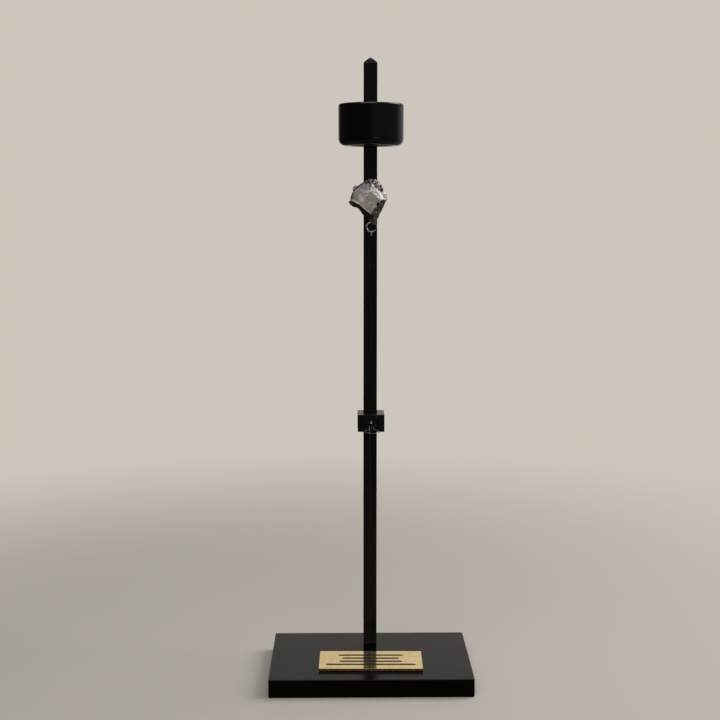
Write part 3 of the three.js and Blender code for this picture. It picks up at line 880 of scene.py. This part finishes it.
def rod():
    edge = 0.07
    # The point: how far below its end, and how much of the rod's side is left there.
    point = ((4.2, 1.0), (4.0, 0.98), (3.0, 0.78), (2.0, 0.55),
             (1.0, 0.31), (0.4, 0.15), (0.1, 0.07), (0, 0.04))
    loops = [(ROD_SIDE, ROD_LOW.z)]
    for down, part in point:
        loops.append((ROD_SIDE * part, ROD_HIGH.z - down))
    body = loft([[(x, y + ROD_MIDDLE_Y, z) for x, y in rounded_rectangle(side, side, min(edge, side / 2.2))]
                 for side, z in loops])
    body = cut(body, [
        pin(BOLT_SHANK + GAP, ROD_LOW.y - 1, ROD_HIGH.y + 1, 0, BOLT_Z),
        post(FOOT_SHANK + GAP, ROD_LOW.z - 1, FOOT_HIGH.z + 0.7, 0, ROD_MIDDLE_Y),
    ])
    piece("square_rod", machined(body, 32), BLACK_PAINT, ["rod"])


def drum():
    height = DRUM_HIGH.z - DRUM_LOW.z
    pocket = MAGNET_HIGH.x + GAP
    lower, upper = DRUM_FILLETS
    profile = [(AXIS, 0.0), *arc(DRUM_RADIUS - lower, lower, lower, -1, 0, 14),
               *arc(DRUM_RADIUS - upper, height - upper, upper, 0, 1, 8), (AXIS, height)]
    body = moved(turned(profile, 160), 0, DRUM_AXIS_Y, DRUM_LOW.z)
    half_notch = ROD_SIDE / 2 + GAP
    front = ROD_LOW.y - GAP
    body = cut(body, [
        post(pocket, DRUM_LOW.z - 1, MAGNET_HIGH.z + GAP, 0, DRUM_AXIS_Y, 96),
        block((-half_notch, front, DRUM_LOW.z - 1), (half_notch, front + 20, DRUM_HIGH.z + 1)),
        pin(BOLT_SHANK + GAP, BOLT_LOW.y - 0.5, front + 1, 0, BOLT_Z),
    ])
    piece("drum_shell", machined(body), drum_gloss(), ["magnet_drum"])


def magnet():
    low, high, radius, ease = MAGNET_LOW.z, MAGNET_HIGH.z, MAGNET_HIGH.x, 0.35
    profile = [(AXIS, low), *[(r, z + low) for r, z in arc(radius - ease, ease, ease, -1, 0, 4)],
               (radius, high), (AXIS, high)]
    disc = moved(turned(profile, 96), 0, DRUM_AXIS_Y)
    piece("magnet_disc", machined(disc), ferrite(), ["magnet"])


# ------------------------------------------------------------------ clamp and screws

def cap_screw(head_radius, head_height, shank_radius, length, socket):
    """A screw along +Z, its head's face down at z = 0, with a knurled head and a hexagon socket."""
    ease = 0.35
    teeth = 40

    def knurl(angle, z, radius):
        on_side = radius > head_radius - 0.01 and 0.5 < z < head_height
        return radius - (0.12 * abs(math.sin(angle * teeth / 2)) if on_side else 0)

    profile = [(AXIS, 0.0), *arc(head_radius - ease, ease, ease, -1, 0, 4), (head_radius, 0.51),
               (head_radius, head_height - 0.01), (head_radius - 0.1, head_height),
               (shank_radius, head_height), (shank_radius, length - 0.4), (shank_radius - 0.4, length),
               (AXIS, length)]
    hexagon = turned([(socket, -1), (socket, head_height * 0.6), (AXIS, head_height * 0.6 + 0.5)], 6)
    return cut(turned(profile, teeth * 6, knurl), [hexagon])


def foot_screw():
    screw = cap_screw(FOOT_HIGH.x, FOOT_HEAD_HEIGHT, FOOT_SHANK, FOOT_HIGH.z - FOOT_LOW.z, 2.3)
    moved(screw, 0, ROD_MIDDLE_Y, FOOT_LOW.z)
    piece("foot_bolt", machined(screw), BLACK_STEEL, ["foot_screw"])


def drum_screw():
    screw = cap_screw(BOLT_HIGH.x, BOLT_HEAD_HEIGHT, BOLT_SHANK, BOLT_HIGH.y - BOLT_LOW.y, 1.5)
    screw.transform(Matrix.Translation((0, BOLT_HIGH.y, BOLT_Z))
                    @ Matrix.Rotation(math.radians(90), 4, "X"))
    piece("drum_bolt", machined(screw), BLACK_STEEL, ["drum_screw"])


def clamp():
    width, depth, _ = CLAMP_HIGH - CLAMP_LOW
    hole = ROD_SIDE / 2 + GAP
    middle = (CLAMP_LOW + CLAMP_HIGH) / 2
    body = moved(slab(width, depth, CLAMP_LOW.z, CLAMP_HIGH.z, 0.4, 0.35), middle.x, middle.y)
    body = cut(body, [
        block((-hole, ROD_MIDDLE_Y - hole, CLAMP_LOW.z - 1), (hole, ROD_MIDDLE_Y + hole, CLAMP_HIGH.z + 1)),
        pin(GRUB_RADIUS + GAP, CLAMP_LOW.y - 1, ROD_LOW.y, GRUB.x, GRUB.z, 32),
    ])
    piece("slide_block", machined(body), clamp_paint(), ["clamp_block"])


def grub_screw():
    """A small screw with a cut thread and a hexagon socket."""
    pitch = 0.5
    depth = 0.16
    length = GRUB_HIGH.y - GRUB_LOW.y
    steps = round(length / pitch * 8)

    def thread(angle, z, radius):
        turn = (z / pitch - angle / TURN) % 1
        return radius - depth * abs(2 * turn - 1) if radius > 1 and z > 0.2 else radius

    side = [(GRUB_RADIUS, 0.25 + (length - 0.35) * k / steps) for k in range(steps + 1)]
    tip = arc(GRUB_RADIUS - 0.25, 0.25, 0.25, -1, -0.2, 3)
    profile = [(AXIS, 0.0), *tip, *side, (0.9, length), (AXIS, length)]
    hexagon = turned([(0.9, -1), (0.9, 0.9), (AXIS, 1.3)], 6)
    screw = cut(turned(profile, 64, thread), [hexagon])
    screw.transform(Matrix.Translation(GRUB) @ Matrix.Rotation(math.radians(-90), 4, "X"))
    piece("grub", machined(screw, 40), grub_steel(), ["clamp_screw"])


BLACK_STEEL = steel("black_steel", (0.02, 0.02, 0.022), (0.075, 0.073, 0.072), 0.34)

base()
rod()
drum()
magnet()
clamp()
foot_screw()
drum_screw()
grub_screw()


# ------------------------------------------------------------------ plate

PLATE_SKEW = math.radians(-0.8)
GROOVE_LENGTHS = (49, 43, 47, 67)


def plate():
    """The brass plate: four filled grooves, and a sheared edge."""
    width, depth, thickness = 77, 36, PLATE_HIGH.z - PLATE_LOW.z
    middle = (PLATE_LOW + PLATE_HIGH) / 2
    pitch = 6.3
    groove_width = 2.9
    groove_bottom = thickness - 0.3
    body = slab(width, depth, 0, thickness, 0.5, 0.12, 3)
    cutters = []
    for row, length in enumerate(GROOVE_LENGTHS):
        y = (1.5 - row) * pitch
        groove = slab(length, groove_width, groove_bottom, thickness + 1, groove_width / 2 - 0.01, 0.05)
        cutters.append(moved(groove, 0, y))
    body = cut(body, cutters)
    for face in body.polygons:
        inside = abs(face.center.x) < width / 2 - 0.3 and abs(face.center.y) < depth / 2 - 0.3
        if inside and 0.1 < face.center.z < thickness - 0.01:
            face.material_index = 2
        elif abs(face.normal.z) < 0.5:
            face.material_index = 1
    body = machined(body)
    body.transform(Matrix.Translation((middle.x, middle.y, PLATE_LOW.z))
                   @ Matrix.Rotation(PLATE_SKEW, 4, "Z"))
    piece("brass_plate", body, [brass(), brass_edge(), black_fill()], ["name_plate"])


plate()


# ------------------------------------------------------------------ meteorite

STONE_VOXEL = 0.22
CUT_AREA = 6.0
# Each flat face of the stone: its turn and tilt in degrees, how warm its grey is, how light (0 to 1,
# 0.5 is even; this is painted light and shade, lighter or darker for the light that falls on the face), how
# bare its metal is, and how far its crust or metal stands uneven.
STONE_FACES = {
    "middle": (-3, -7, 0.85, 0.74, 0, 0.0),
    "left": (-22, 8, 0.85, 0.6, 0, 0.0),
    "upper_left": (-19, 30, 0.15, 0.3, 0, 0.0),
    "right": (24, 24, 0.1, 0.72, 0.0, 0.1),
    "outer_right": (57, 37, 0.0, 0.46, 0.0, 0.4),
    "lower_right": (35, -26, 0.5, 1.0, 0, 1.0),
    "lower_left": (-54, -45, 0.6, 0.07, 0, 1.0),
}
# Outlines, seen from the front (X and Z), within which broken crust takes the place of the flat faces.
CROWN = [(-6.9, 370.6), (-4.0, 370.7), (-1.9, 370.2), (-0.4, 369.4), (0.8, 370.1), (2.3, 369.6), (3.4, 368.6),
         (3.9, 366.9), (5.0, 365.1), (6.6, 364.5), (8.0, 363.4), (9.4, 361.6), (10.9, 360.2),
         (14, 363), (10, 376), (-6, 376)]
LOWER_RIGHT = [(10.2, 358.6), (8.4, 357.2), (7.0, 356.3), (5.1, 356.0), (4.0, 354.9), (3.5, 353.2),
               (2.2, 351.7), (0.8, 350.1), (0.0, 348.3), (0.0, 345.0), (2, 340), (12, 350), (13, 358)]
# The crust's edge along the left border of the flat faces.
SEAM = [(-7.3, -13.4, 370.2), (-8.3, -13.9, 368.8), (-10.1, -14.0, 367.5), (-11.6, -14.2, 366.4),
        (-12.8, -14.1, 364.6), (-13.6, -14.1, 362.7), (-14.2, -14.2, 360.6), (-14.5, -14.4, 358.4)]
# Worn bright edges, with a painted highlight along them: above the dark lower left side, along both borders
# of the right faces, and, seen from the front, beside the broken lower right.
LEFT_EDGE = [(-13.0, -15.0, 358.0), (-10.9, -16.1, 357.0), (-9.1, -16.9, 355.9), (-7.7, -17.4, 354.7),
               (-6.2, -17.3, 353.1), (-4.4, -17.2, 351.5), (-3.0, -17.1, 350.2), (-1.4, -17.0, 348.8)]
RIGHT_RIDGE = [(0.7, -16.1, 369.3), (2.3, -14.9, 368.6), (3.5, -15.3, 367.2), (4.6, -16.6, 364.8),
               (5.6, -17.2, 362.7), (6.6, -17.8, 360.6), (7.6, -18.2, 358.8)]
OUTER_RIDGE = [(5.9, -15.6, 364.2), (7.0, -16.0, 362.6), (7.7, -17.2, 360.6), (8.0, -17.9, 359.0)]
BROKEN_EDGE = [(10.2, 0, 358.6), (8.4, 0, 357.2), (7.0, 0, 356.3), (5.1, 0, 356.0), (4.0, 0, 354.9),
               (3.5, 0, 353.2), (2.2, 0, 351.7), (0.8, 0, 350.1), (0.0, 0, 348.3)]
# Dark borders: between the upper left and the right face, and at the far right.
DARK_EDGES = [[(-0.2, -16.4, 369.4), (-0.5, -16.8, 368.3), (-0.6, -17.8, 366.7)],
              [(8.6, -12.6, 363.4), (9.2, -14.6, 361.2), (9.6, -15.3, 360.2)]]
# Round places: their middle, radius and strength.
BARE_SPOTS = [
    ((5.2, -12.9, 368.0), 4.6, 1), ((8.2, -11.5, 364.2), 3.4, 1), ((-11.8, -11.6, 366.8), 3.4, 1),
    ((-0.5, -14.6, 371.8), 1.2, 1), ((2.2, -14.0, 370.7), 1.8, 1), ((3.1, -13.1, 372.9), 1.0, 1),
    ((-13.9, -12.0, 355.9), 1.2, 1),
]
GOLD_SPOTS = [
    ((-6.6, -16.9, 360.6), 3.6, 1), ((-3.9, -18.0, 362.6), 2.8, 1), ((-6.9, -17.3, 358.6), 2.4, 1),
    ((-2.0, -18.2, 365.0), 1.6, 1),
]
TONE_SPOTS = [
    ((-2.0, -18.2, 365.3), 1.1, 0.45), ((-3.5, -18.3, 360.2), 0.9, -0.4),
    ((-10.7, -15.9, 358.9), 1.4, -0.22), ((-1.1, -18.2, 358.0), 1.0, -0.12),
    ((-9.6, -15.3, 365.1), 1.2, -0.25), ((-11.0, -14.9, 364.6), 0.9, 0.25),
    ((5.5, -18.6, 358.6), 1.8, -0.24), ((6.2, -18.4, 356.7), 0.8, 0.12),
    ((0.7, -18.7, 363.6), 1.5, -0.14), ((3.2, -18.8, 361.6), 1.6, -0.1),
    ((-13.8, -14.2, 361.5), 3.2, -0.3), ((-3.2, -14.0, 370.0), 1.7, -0.25),
    ((-1.2, -16.2, 368.0), 1.2, -0.2), ((8.0, -17.9, 358.9), 1.0, 0.5), ((0.9, -16.0, 369.2), 1.0, 0.5),
    ((-2.3, -17.1, 349.9), 1.2, 0.12), ((3.4, -15.3, 366.0), 1.0, -0.15),
    ((10.2, -14.0, 357.8), 2.4, -0.5), ((9.3, -12.5, 354.0), 1.8, -0.4),
    ((5.4, -16.9, 363.1), 1.7, -0.34), ((3.6, -16.4, 365.9), 1.3, -0.2), ((8.9, -16.6, 360.1), 1.1, 0.4),
    ((2.2, -17.0, 366.3), 1.2, 0.2),
]
# Knobs of bare metal on the crown, and the pits between them.
KNOBS = [
    ((-3.2, -13.6, 371.6), 0.8, 0.4), ((-0.5, -14.6, 371.8), 0.8, 0.6), ((2.2, -14.0, 370.7), 1.0, 0.9),
    ((3.1, -13.1, 372.9), 0.8, 0.6), ((5.0, -14.6, 368.9), 1.9, 1.1), ((5.2, -13.9, 367.0), 1.7, 0.9),
    ((8.5, -11.6, 367.2), 1.1, 0.6), ((9.3, -12.3, 363.8), 1.0, 0.3), ((-12.0, -12.2, 366.8), 1.3, 0.6),
    ((-10.6, -12.4, 367.9), 0.9, 0.4), ((-15.0, -12.6, 358.4), 2.2, 0.4),
    ((-14.2, -11.4, 355.8), 3.4, 1.7), ((10.9, -13.5, 359.6), 2.6, 0.6), ((9.9, -12.5, 356.2), 2.4, 0.4),
    ((-13.7, -12.2, 355.9), 0.8, 0.4),
]
PITS = [
    ((-1.8, -14.2, 371.7), 0.9, 0.7), ((1.0, -13.6, 372.0), 1.1, 0.9), ((0.7, -14.8, 370.5), 0.8, 0.8),
    ((3.6, -14.4, 369.6), 0.7, 0.7), ((7.0, -13.5, 368.3), 1.2, 1.3), ((6.9, -13.4, 366.7), 1.1, 1.2),
    ((7.7, -13.0, 365.4), 1.3, 1.3), ((8.2, -12.7, 364.4), 0.7, 0.8), ((5.4, -14.9, 365.3), 0.7, 0.6),
    ((4.7, -17.6, 355.2), 1.4, 1.0), ((7.9, -17.4, 356.5), 1.1, 0.5), ((-4.1, -16.6, 350.6), 0.9, 0.6),
    ((-12.6, -12.9, 356.6), 1.0, 0.5),
]


def positions(mesh):
    places = np.empty(len(mesh.vertices) * 3, np.float32)
    mesh.vertices.foreach_get("co", places)
    return places.reshape(-1, 3).astype(float)


def outward(mesh):
    normals = np.empty(len(mesh.vertices) * 3, np.float32)
    mesh.vertex_normals.foreach_get("vector", normals)
    return normals.reshape(-1, 3).astype(float)


def move_to(mesh, places):
    mesh.vertices.foreach_set("co", places.astype(np.float32).ravel())
    mesh.update()


def ease(values, low, high):
    """0 below low, 1 above high, and smooth between them."""
    part = np.clip((values - low) / (high - low), 0, 1)
    return part * part * (3 - 2 * part)


def flat_faces(mesh):
    """The planes of the large flat faces, as (outward normal, distance from the origin)."""
    places = positions(mesh)
    mesh.calc_loop_triangles()
    corners = np.array([t.vertices[:] for t in mesh.loop_triangles])
    a, b, c = (places[corners[:, k]] for k in range(3))
    normals = np.cross(b - a, c - a)
    area = np.linalg.norm(normals, axis=1) / 2
    normals /= np.maximum(area, 1e-12)[:, None] * 2
    reach = (normals * a).sum(1)
    left = np.ones(len(corners), bool)
    planes = []
    for k in np.argsort(-area):
        if area[k] < 0.2:
            break
        if left[k]:
            same = left & (normals @ normals[k] > 0.9997) & (np.abs(reach - reach[k]) < 0.04)
            left &= ~same
            if area[same].sum() > CUT_AREA:
                planes.append((normals[k], reach[k]))
    return planes


def named_face(normal):
    """The name of the stone's face that looks nearest to the direction of the normal."""
    def agreement(name):
        turn, tilt = (math.radians(angle) for angle in STONE_FACES[name][:2])
        facing = (math.sin(turn) * math.cos(tilt), -math.cos(turn) * math.cos(tilt), math.sin(tilt))
        return float(np.dot(facing, normal))
    return max(STONE_FACES, key=agreement)


class Spread:
    """Averages values over the neighbours of each vertex."""

    def __init__(self, mesh):
        ends = np.empty(len(mesh.edges) * 2, np.int32)
        mesh.edges.foreach_get("vertices", ends)
        self.a, self.b = ends.reshape(-1, 2).T
        self.count = len(mesh.vertices)
        self.degree = np.bincount(np.concatenate([self.a, self.b]), minlength=self.count)

    def once(self, values):
        if values.ndim == 2:
            return np.stack([self.once(column) for column in values.T], 1)
        to_a = np.bincount(self.a, values[self.b], self.count)
        to_b = np.bincount(self.b, values[self.a], self.count)
        return (to_a + to_b) / self.degree

    def times(self, values, count):
        for _ in range(count):
            values = self.once(values)
        return values


def bowl(place, size):
    """A round hollow in each cell: 1 at its middle and 0 from its rim on."""
    near = noise.voronoi(place / size)[0][0]
    return max(0.0, 1 - (near / 0.62) ** 2)


def crust_relief(place, bare):
    """How far the crust stands out at a place, in mm: thumb marks, small pits, ridges and grain."""
    broad = 0.34 * noise.fractal(place / 4.2, 0.9, 2.1, 4)
    marks = -0.5 * bowl(place + Vector((3, 1, 7)), 4.6)
    small = -0.24 * (1 - 0.7 * bare) * bowl(place + 0.4 * noise.noise_vector(place / 1.5), 1.7)
    lumps = 0.6 * bare * noise.fractal(place / 2.8, 0.8, 2.2, 3)
    ridges = 0.10 * (noise.ridged_multi_fractal(place / 1.9, 1.0, 2.1, 4, 1.0, 2.0) - 1.1)
    fine = 0.06 * noise.fractal(place / 0.7, 0.8, 2.2, 3)
    return broad + (1 - 0.6 * bare) * marks + small + lumps + (1 - 0.5 * bare) * ridges + fine


def spots(places, marks):
    """The strength of the nearest round spot at each place, fading at its border."""
    total = np.zeros(len(places))
    for centre, radius, strength in marks:
        away = np.linalg.norm(places - np.array(centre), axis=1)
        here = strength * (1 - ease(away, 0.25 * radius, radius))
        total = np.where(np.abs(here) > np.abs(total), here, total)
    return total


def along(places, line, radius):
    """1 on a line through points and 0 from the radius on."""
    near = np.full(len(places), np.inf)
    for start, end in zip(line, line[1:]):
        start, run = np.array(start), np.array(end) - np.array(start)
        part = np.clip((places - start) @ run / (run @ run), 0, 1)
        near = np.minimum(near, np.linalg.norm(places - start - part[:, None] * run, axis=1))
    return 1 - ease(near, 0.45 * radius, radius)


def within(places, outline):
    """Whether each place lies inside an outline in X and Z."""
    x, z = places[:, 0], places[:, 2]
    inside = np.zeros(len(places), bool)
    for (ax, az), (bx, bz) in zip(outline, [*outline[1:], outline[0]]):
        if az != bz:
            inside ^= ((az > z) != (bz > z)) & (x < ax + (z - az) * (bx - ax) / (bz - az))
    return inside


def stone():
    """The lump with its flat faces kept true and its crust worked with hollows, pits, knobs and grain."""
    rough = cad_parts["meteorite"].data.copy()
    rough.transform(Matrix.Scale(1 / MM, 4))
    planes = flat_faces(rough)
    looks = np.array([STONE_FACES[named_face(normal)][2:] for normal, _ in planes])
    mesh = modified(rough, "REMESH", mode="VOXEL", voxel_size=STONE_VOXEL)
    mesh.materials.clear()
    spread = Spread(mesh)
    places = positions(mesh)
    normals = outward(mesh)

    beyond = np.abs(np.stack([places @ normal - reach for normal, reach in planes], 1))
    facing = np.stack([normals @ normal for normal, _ in planes], 1)
    touching = (beyond < 0.16) & (facing > 0.9)
    on_face = touching.any(1)
    which = np.argmax(np.where(touching, facing, -1), 1)
    warm, light, bright, uneven = looks[which].T

    # Uneven borders: the outlines wander by a few tenths of a millimetre.
    wander = np.array([noise.noise_vector(Vector(place) / 1.3) + 0.5 * noise.noise_vector(Vector(place) / 0.5)
                       for place in places])
    wandered = places + 0.45 * wander
    crown = within(wandered, CROWN) & on_face
    broken = within(wandered, LOWER_RIGHT) & on_face
    seam = (along(wandered, SEAM, 0.95) > 0.5) & on_face
    crusted = ~on_face | (uneven > 0.9) | crown | broken | seam
    flat = ~crusted

    # Vertices by the ring's hole stay, so that the wire keeps its room.
    from_ring = places - np.array(RING)
    to_wire = np.hypot(np.hypot(from_ring[:, 0], from_ring[:, 2]) - RING_RADIUS, from_ring[:, 1])
    free = ease(to_wire, RING_WIRE + GAP + 0.05, RING_WIRE + GAP + 1.2)

    # The crust's facets are rounded off a little.
    soft = places.copy()
    weight = (free * ~on_face)[:, None] * 0.6
    for _ in range(9):
        soft += (spread.once(soft) - soft) * weight
    move_to(mesh, soft)
    normals = outward(mesh)

    # Hollows, pits, knobs and grain: all over the crust, and only inwards where it was a flat face.
    bare = spots(soft, BARE_SPOTS) * crusted
    bare = np.maximum(bare, spread.times(np.where(on_face, bright, 0) * ~seam, 3))
    bare = np.maximum(bare, crown * ease(soft[:, 0], 0.5, 3.5))
    relief = np.array([crust_relief(Vector(place), b) for place, b in zip(soft, bare)])
    border = 1 - ease(spread.times(flat.astype(float), 5), 0.72, 0.985)
    on_flat = np.minimum(relief, 0) * np.maximum(border * 0.5, uneven)
    sunk = spread.times(crusted & on_face, 2) * np.where(crown, 0.1, 0.35)
    relief = np.where(flat, on_flat, np.where(on_face & ~crown, np.minimum(relief, 0.05) - sunk, relief))
    relief = relief + spots(soft, KNOBS) - spots(soft, PITS)
    relief = spread.times(relief * free, 1)
    worked = soft + normals * relief[:, None]

    # What stood inside the planes stays inside them, so the crust ends at them in an uneven line.
    inside = (np.stack([places @ normal - reach for normal, reach in planes], 1) < 0.1).all(1)
    for normal, reach in planes:
        over = worked @ normal - reach
        over = np.where(inside & ~crown & (over > 0), over, 0)
        worked -= over[:, None] * normal
    move_to(mesh, worked)
    normals = outward(mesh)

    # What each place is made of and how it looks.
    second = np.sort(np.abs(np.stack([worked @ normal - reach for normal, reach in planes], 1)), 1)[:, 1]
    hollow = ((spread.times(worked, 6) - worked) * normals).sum(1)
    edge = 1 - ease(spread.times(flat.astype(float), 2), 0.55, 0.97)
    # Rim: on the flat faces, a painted highlight along their ridges and their borders with the crust, where
    # they are also worn; on the crust, its worn proud places.
    rim = np.maximum((1 - ease(second, 0.05, 0.3)) * 0.35, edge * 0.6)
    rim = np.maximum(rim, 1.6 * along(wandered, LEFT_EDGE, 0.8))
    rim = np.maximum(rim, along(wandered, RIGHT_RIDGE, 0.75))
    rim = np.maximum(rim, along(wandered, OUTER_RIDGE, 0.9))
    rim = np.maximum(rim, 0.7 * along(wandered * (1, 0, 1), BROKEN_EDGE, 0.9))
    wear = ease(-hollow, 0.02, 0.08)
    pits = np.maximum(ease(hollow, 0.012, 0.07), np.clip(2.2 * spots(worked, PITS), 0, 1))
    # Each face's painted light and shade, from the table of faces, with lighter and darker round spots and
    # darker borders.
    tone_and_painted_light = spread.times(np.where(on_face, light, 0.5), 2) + spots(wandered, TONE_SPOTS)
    for line in DARK_EDGES:
        tone_and_painted_light = tone_and_painted_light - 0.4 * along(wandered, line, 0.8)
    paint(mesh, "cut", spread.once(flat.astype(float)))
    paint(mesh, "rim", np.where(flat, rim, wear))
    paint(mesh, "pit", pits * ~flat)
    paint(mesh, "bare", bare)
    paint(mesh, "gold", spots(worked, GOLD_SPOTS))
    paint(mesh, "warm", spread.times(np.where(on_face, warm, 0.5), 2))
    paint(mesh, "tone_and_painted_light", tone_and_painted_light)
    piece("stone", smooth(mesh, 38), meteoric_iron(), ["meteorite"])


# The noise that makes the crust's borders and pits wander is the same in every run.
noise.seed_set(1)
stone()


# ------------------------------------------------------------------ stage and light

WALL = (0.61, 0.565, 0.503)
ROOM = (0.545, 0.56, 0.585)


def floor():
    """A pale floor that fades into the pale backdrop."""
    look = Look("floor")
    look.set("Specular IOR Level", 0.1)
    look.set("Roughness", 0.8)
    path = look.node("ShaderNodeLightPath")
    seen = path.outputs["Is Camera Ray"]
    look.set("Base Color", look.mix(seen, (0.15, 0.115, 0.08), (0.62, 0.575, 0.51)))
    centre = look.node("ShaderNodeVectorMath", operation="LENGTH")
    look.join(centre, 0, look.place)
    look.set("Alpha", look.level(centre.outputs["Value"], 260, 900, 1, 0))
    bm = bmesh.new()
    bmesh.ops.create_circle(bm, cap_ends=True, radius=1.0, segments=96)
    disc = bpy.data.objects.new("floor", finished(bm))
    disc.location.z = -0.00005
    disc.data.materials.append(look.material)
    bpy.context.scene.collection.objects.link(disc)


def surroundings():
    """A soft room: a pale backdrop, dark in front of the stand and lighter to its right."""
    world = bpy.data.worlds.new("room")
    world.use_nodes = True
    bpy.context.scene.world = world
    tree = world.node_tree
    nodes, links = tree.nodes, tree.links
    background = nodes["Background"]
    direction = nodes.new("ShaderNodeTexCoord").outputs["Generated"]
    split = nodes.new("ShaderNodeSeparateXYZ")
    links.new(direction, split.inputs[0])

    def stretch(value, low, high, end, start=0.0):
        node = nodes.new("ShaderNodeMapRange")
        node.interpolation_type = "SMOOTHSTEP"
        links.new(value, node.inputs[0])
        for socket, number in zip(range(1, 5), (low, high, start, end)):
            node.inputs[socket].default_value = number
        return node.outputs[0]

    def join(operation, a, b):
        node = nodes.new("ShaderNodeMath")
        node.operation = operation
        links.new(a, node.inputs[0])
        links.new(b, node.inputs[1])
        return node.outputs[0]

    x, y, z = split.outputs
    front = join("ADD", stretch(x, -0.2, 0.25, 0.2, 0.06), stretch(z, 0.2, 0.9, 0.13))
    right = join("MULTIPLY", stretch(x, 0.0, 0.6, 0.5), stretch(y, 0.1, 0.7, 1.0))
    # A low bright window in front, to the right, that shows in the drum's rounded lower edge.
    window = join("MULTIPLY", stretch(x, 0.09, 0.15, 1.0), stretch(x, 0.52, 0.36, 1.0))
    in_height = join("MULTIPLY", stretch(z, -0.27, -0.2, 1.0), stretch(z, -0.08, -0.13, 1.0))
    window = join("MULTIPLY", window, in_height)
    window = join("MULTIPLY", window, stretch(y, -0.6, -0.8, 1.8))
    right = join("ADD", right, window)
    high = stretch(z, 0.15, 0.35, 1.45, 0.94)
    backdrop = join("MULTIPLY", stretch(y, 0.8, 0.92, 0.66), stretch(z, -0.2, 0.02, 1.0, 0.25))
    backdrop = join("MULTIPLY", backdrop, high)
    below = stretch(z, -0.35, 0.0, 1.0, 0.5)

    def tinted(colour, strength):
        node = nodes.new("ShaderNodeVectorMath")
        node.operation = "SCALE"
        node.inputs[0].default_value = colour
        links.new(join("MULTIPLY", strength, below), node.inputs["Scale"])
        return node.outputs[0]

    room = nodes.new("ShaderNodeVectorMath")
    room.operation = "ADD"
    links.new(tinted(ROOM, join("ADD", front, right)), room.inputs[0])
    links.new(tinted(WALL, backdrop), room.inputs[1])
    shade = nodes.new("ShaderNodeMix")
    shade.data_type = "RGBA"
    links.new(nodes.new("ShaderNodeLightPath").outputs["Is Camera Ray"], shade.inputs[0])
    links.new(room.outputs[0], shade.inputs[6])
    shade.inputs[7].default_value = (*WALL, 1)
    links.new(shade.outputs[2], background.inputs["Color"])


def softbox(name, turn, tilt, distance, size, power, colour=(1, 1, 1)):
    """A square light, its turn to the right of the front and its tilt above level, aimed at the stand."""
    data = bpy.data.lights.new(name, "AREA")
    data.shape = "SQUARE"
    data.size = size
    data.energy = power
    data.color = colour
    light = bpy.data.objects.new(name, data)
    light.visible_camera = False
    turn, tilt = math.radians(turn), math.radians(tilt)
    away = Vector((math.sin(turn) * math.cos(tilt), -math.cos(turn) * math.cos(tilt), math.sin(tilt)))
    aim = Vector((0, 0, 0.25))
    light.location = aim + away * distance
    light.rotation_euler = away.to_track_quat("Z", "Y").to_euler()
    bpy.context.scene.collection.objects.link(light)


floor()
surroundings()
softbox("key", 104, 40, 1.4, 1.0, 12, (1, 0.99, 0.975))
softbox("fill", -14, 50, 1.5, 1.2, 9)
softbox("top", 160, 62, 1.4, 0.6, 1.5)
bpy.context.scene.view_settings.view_transform = "Standard"
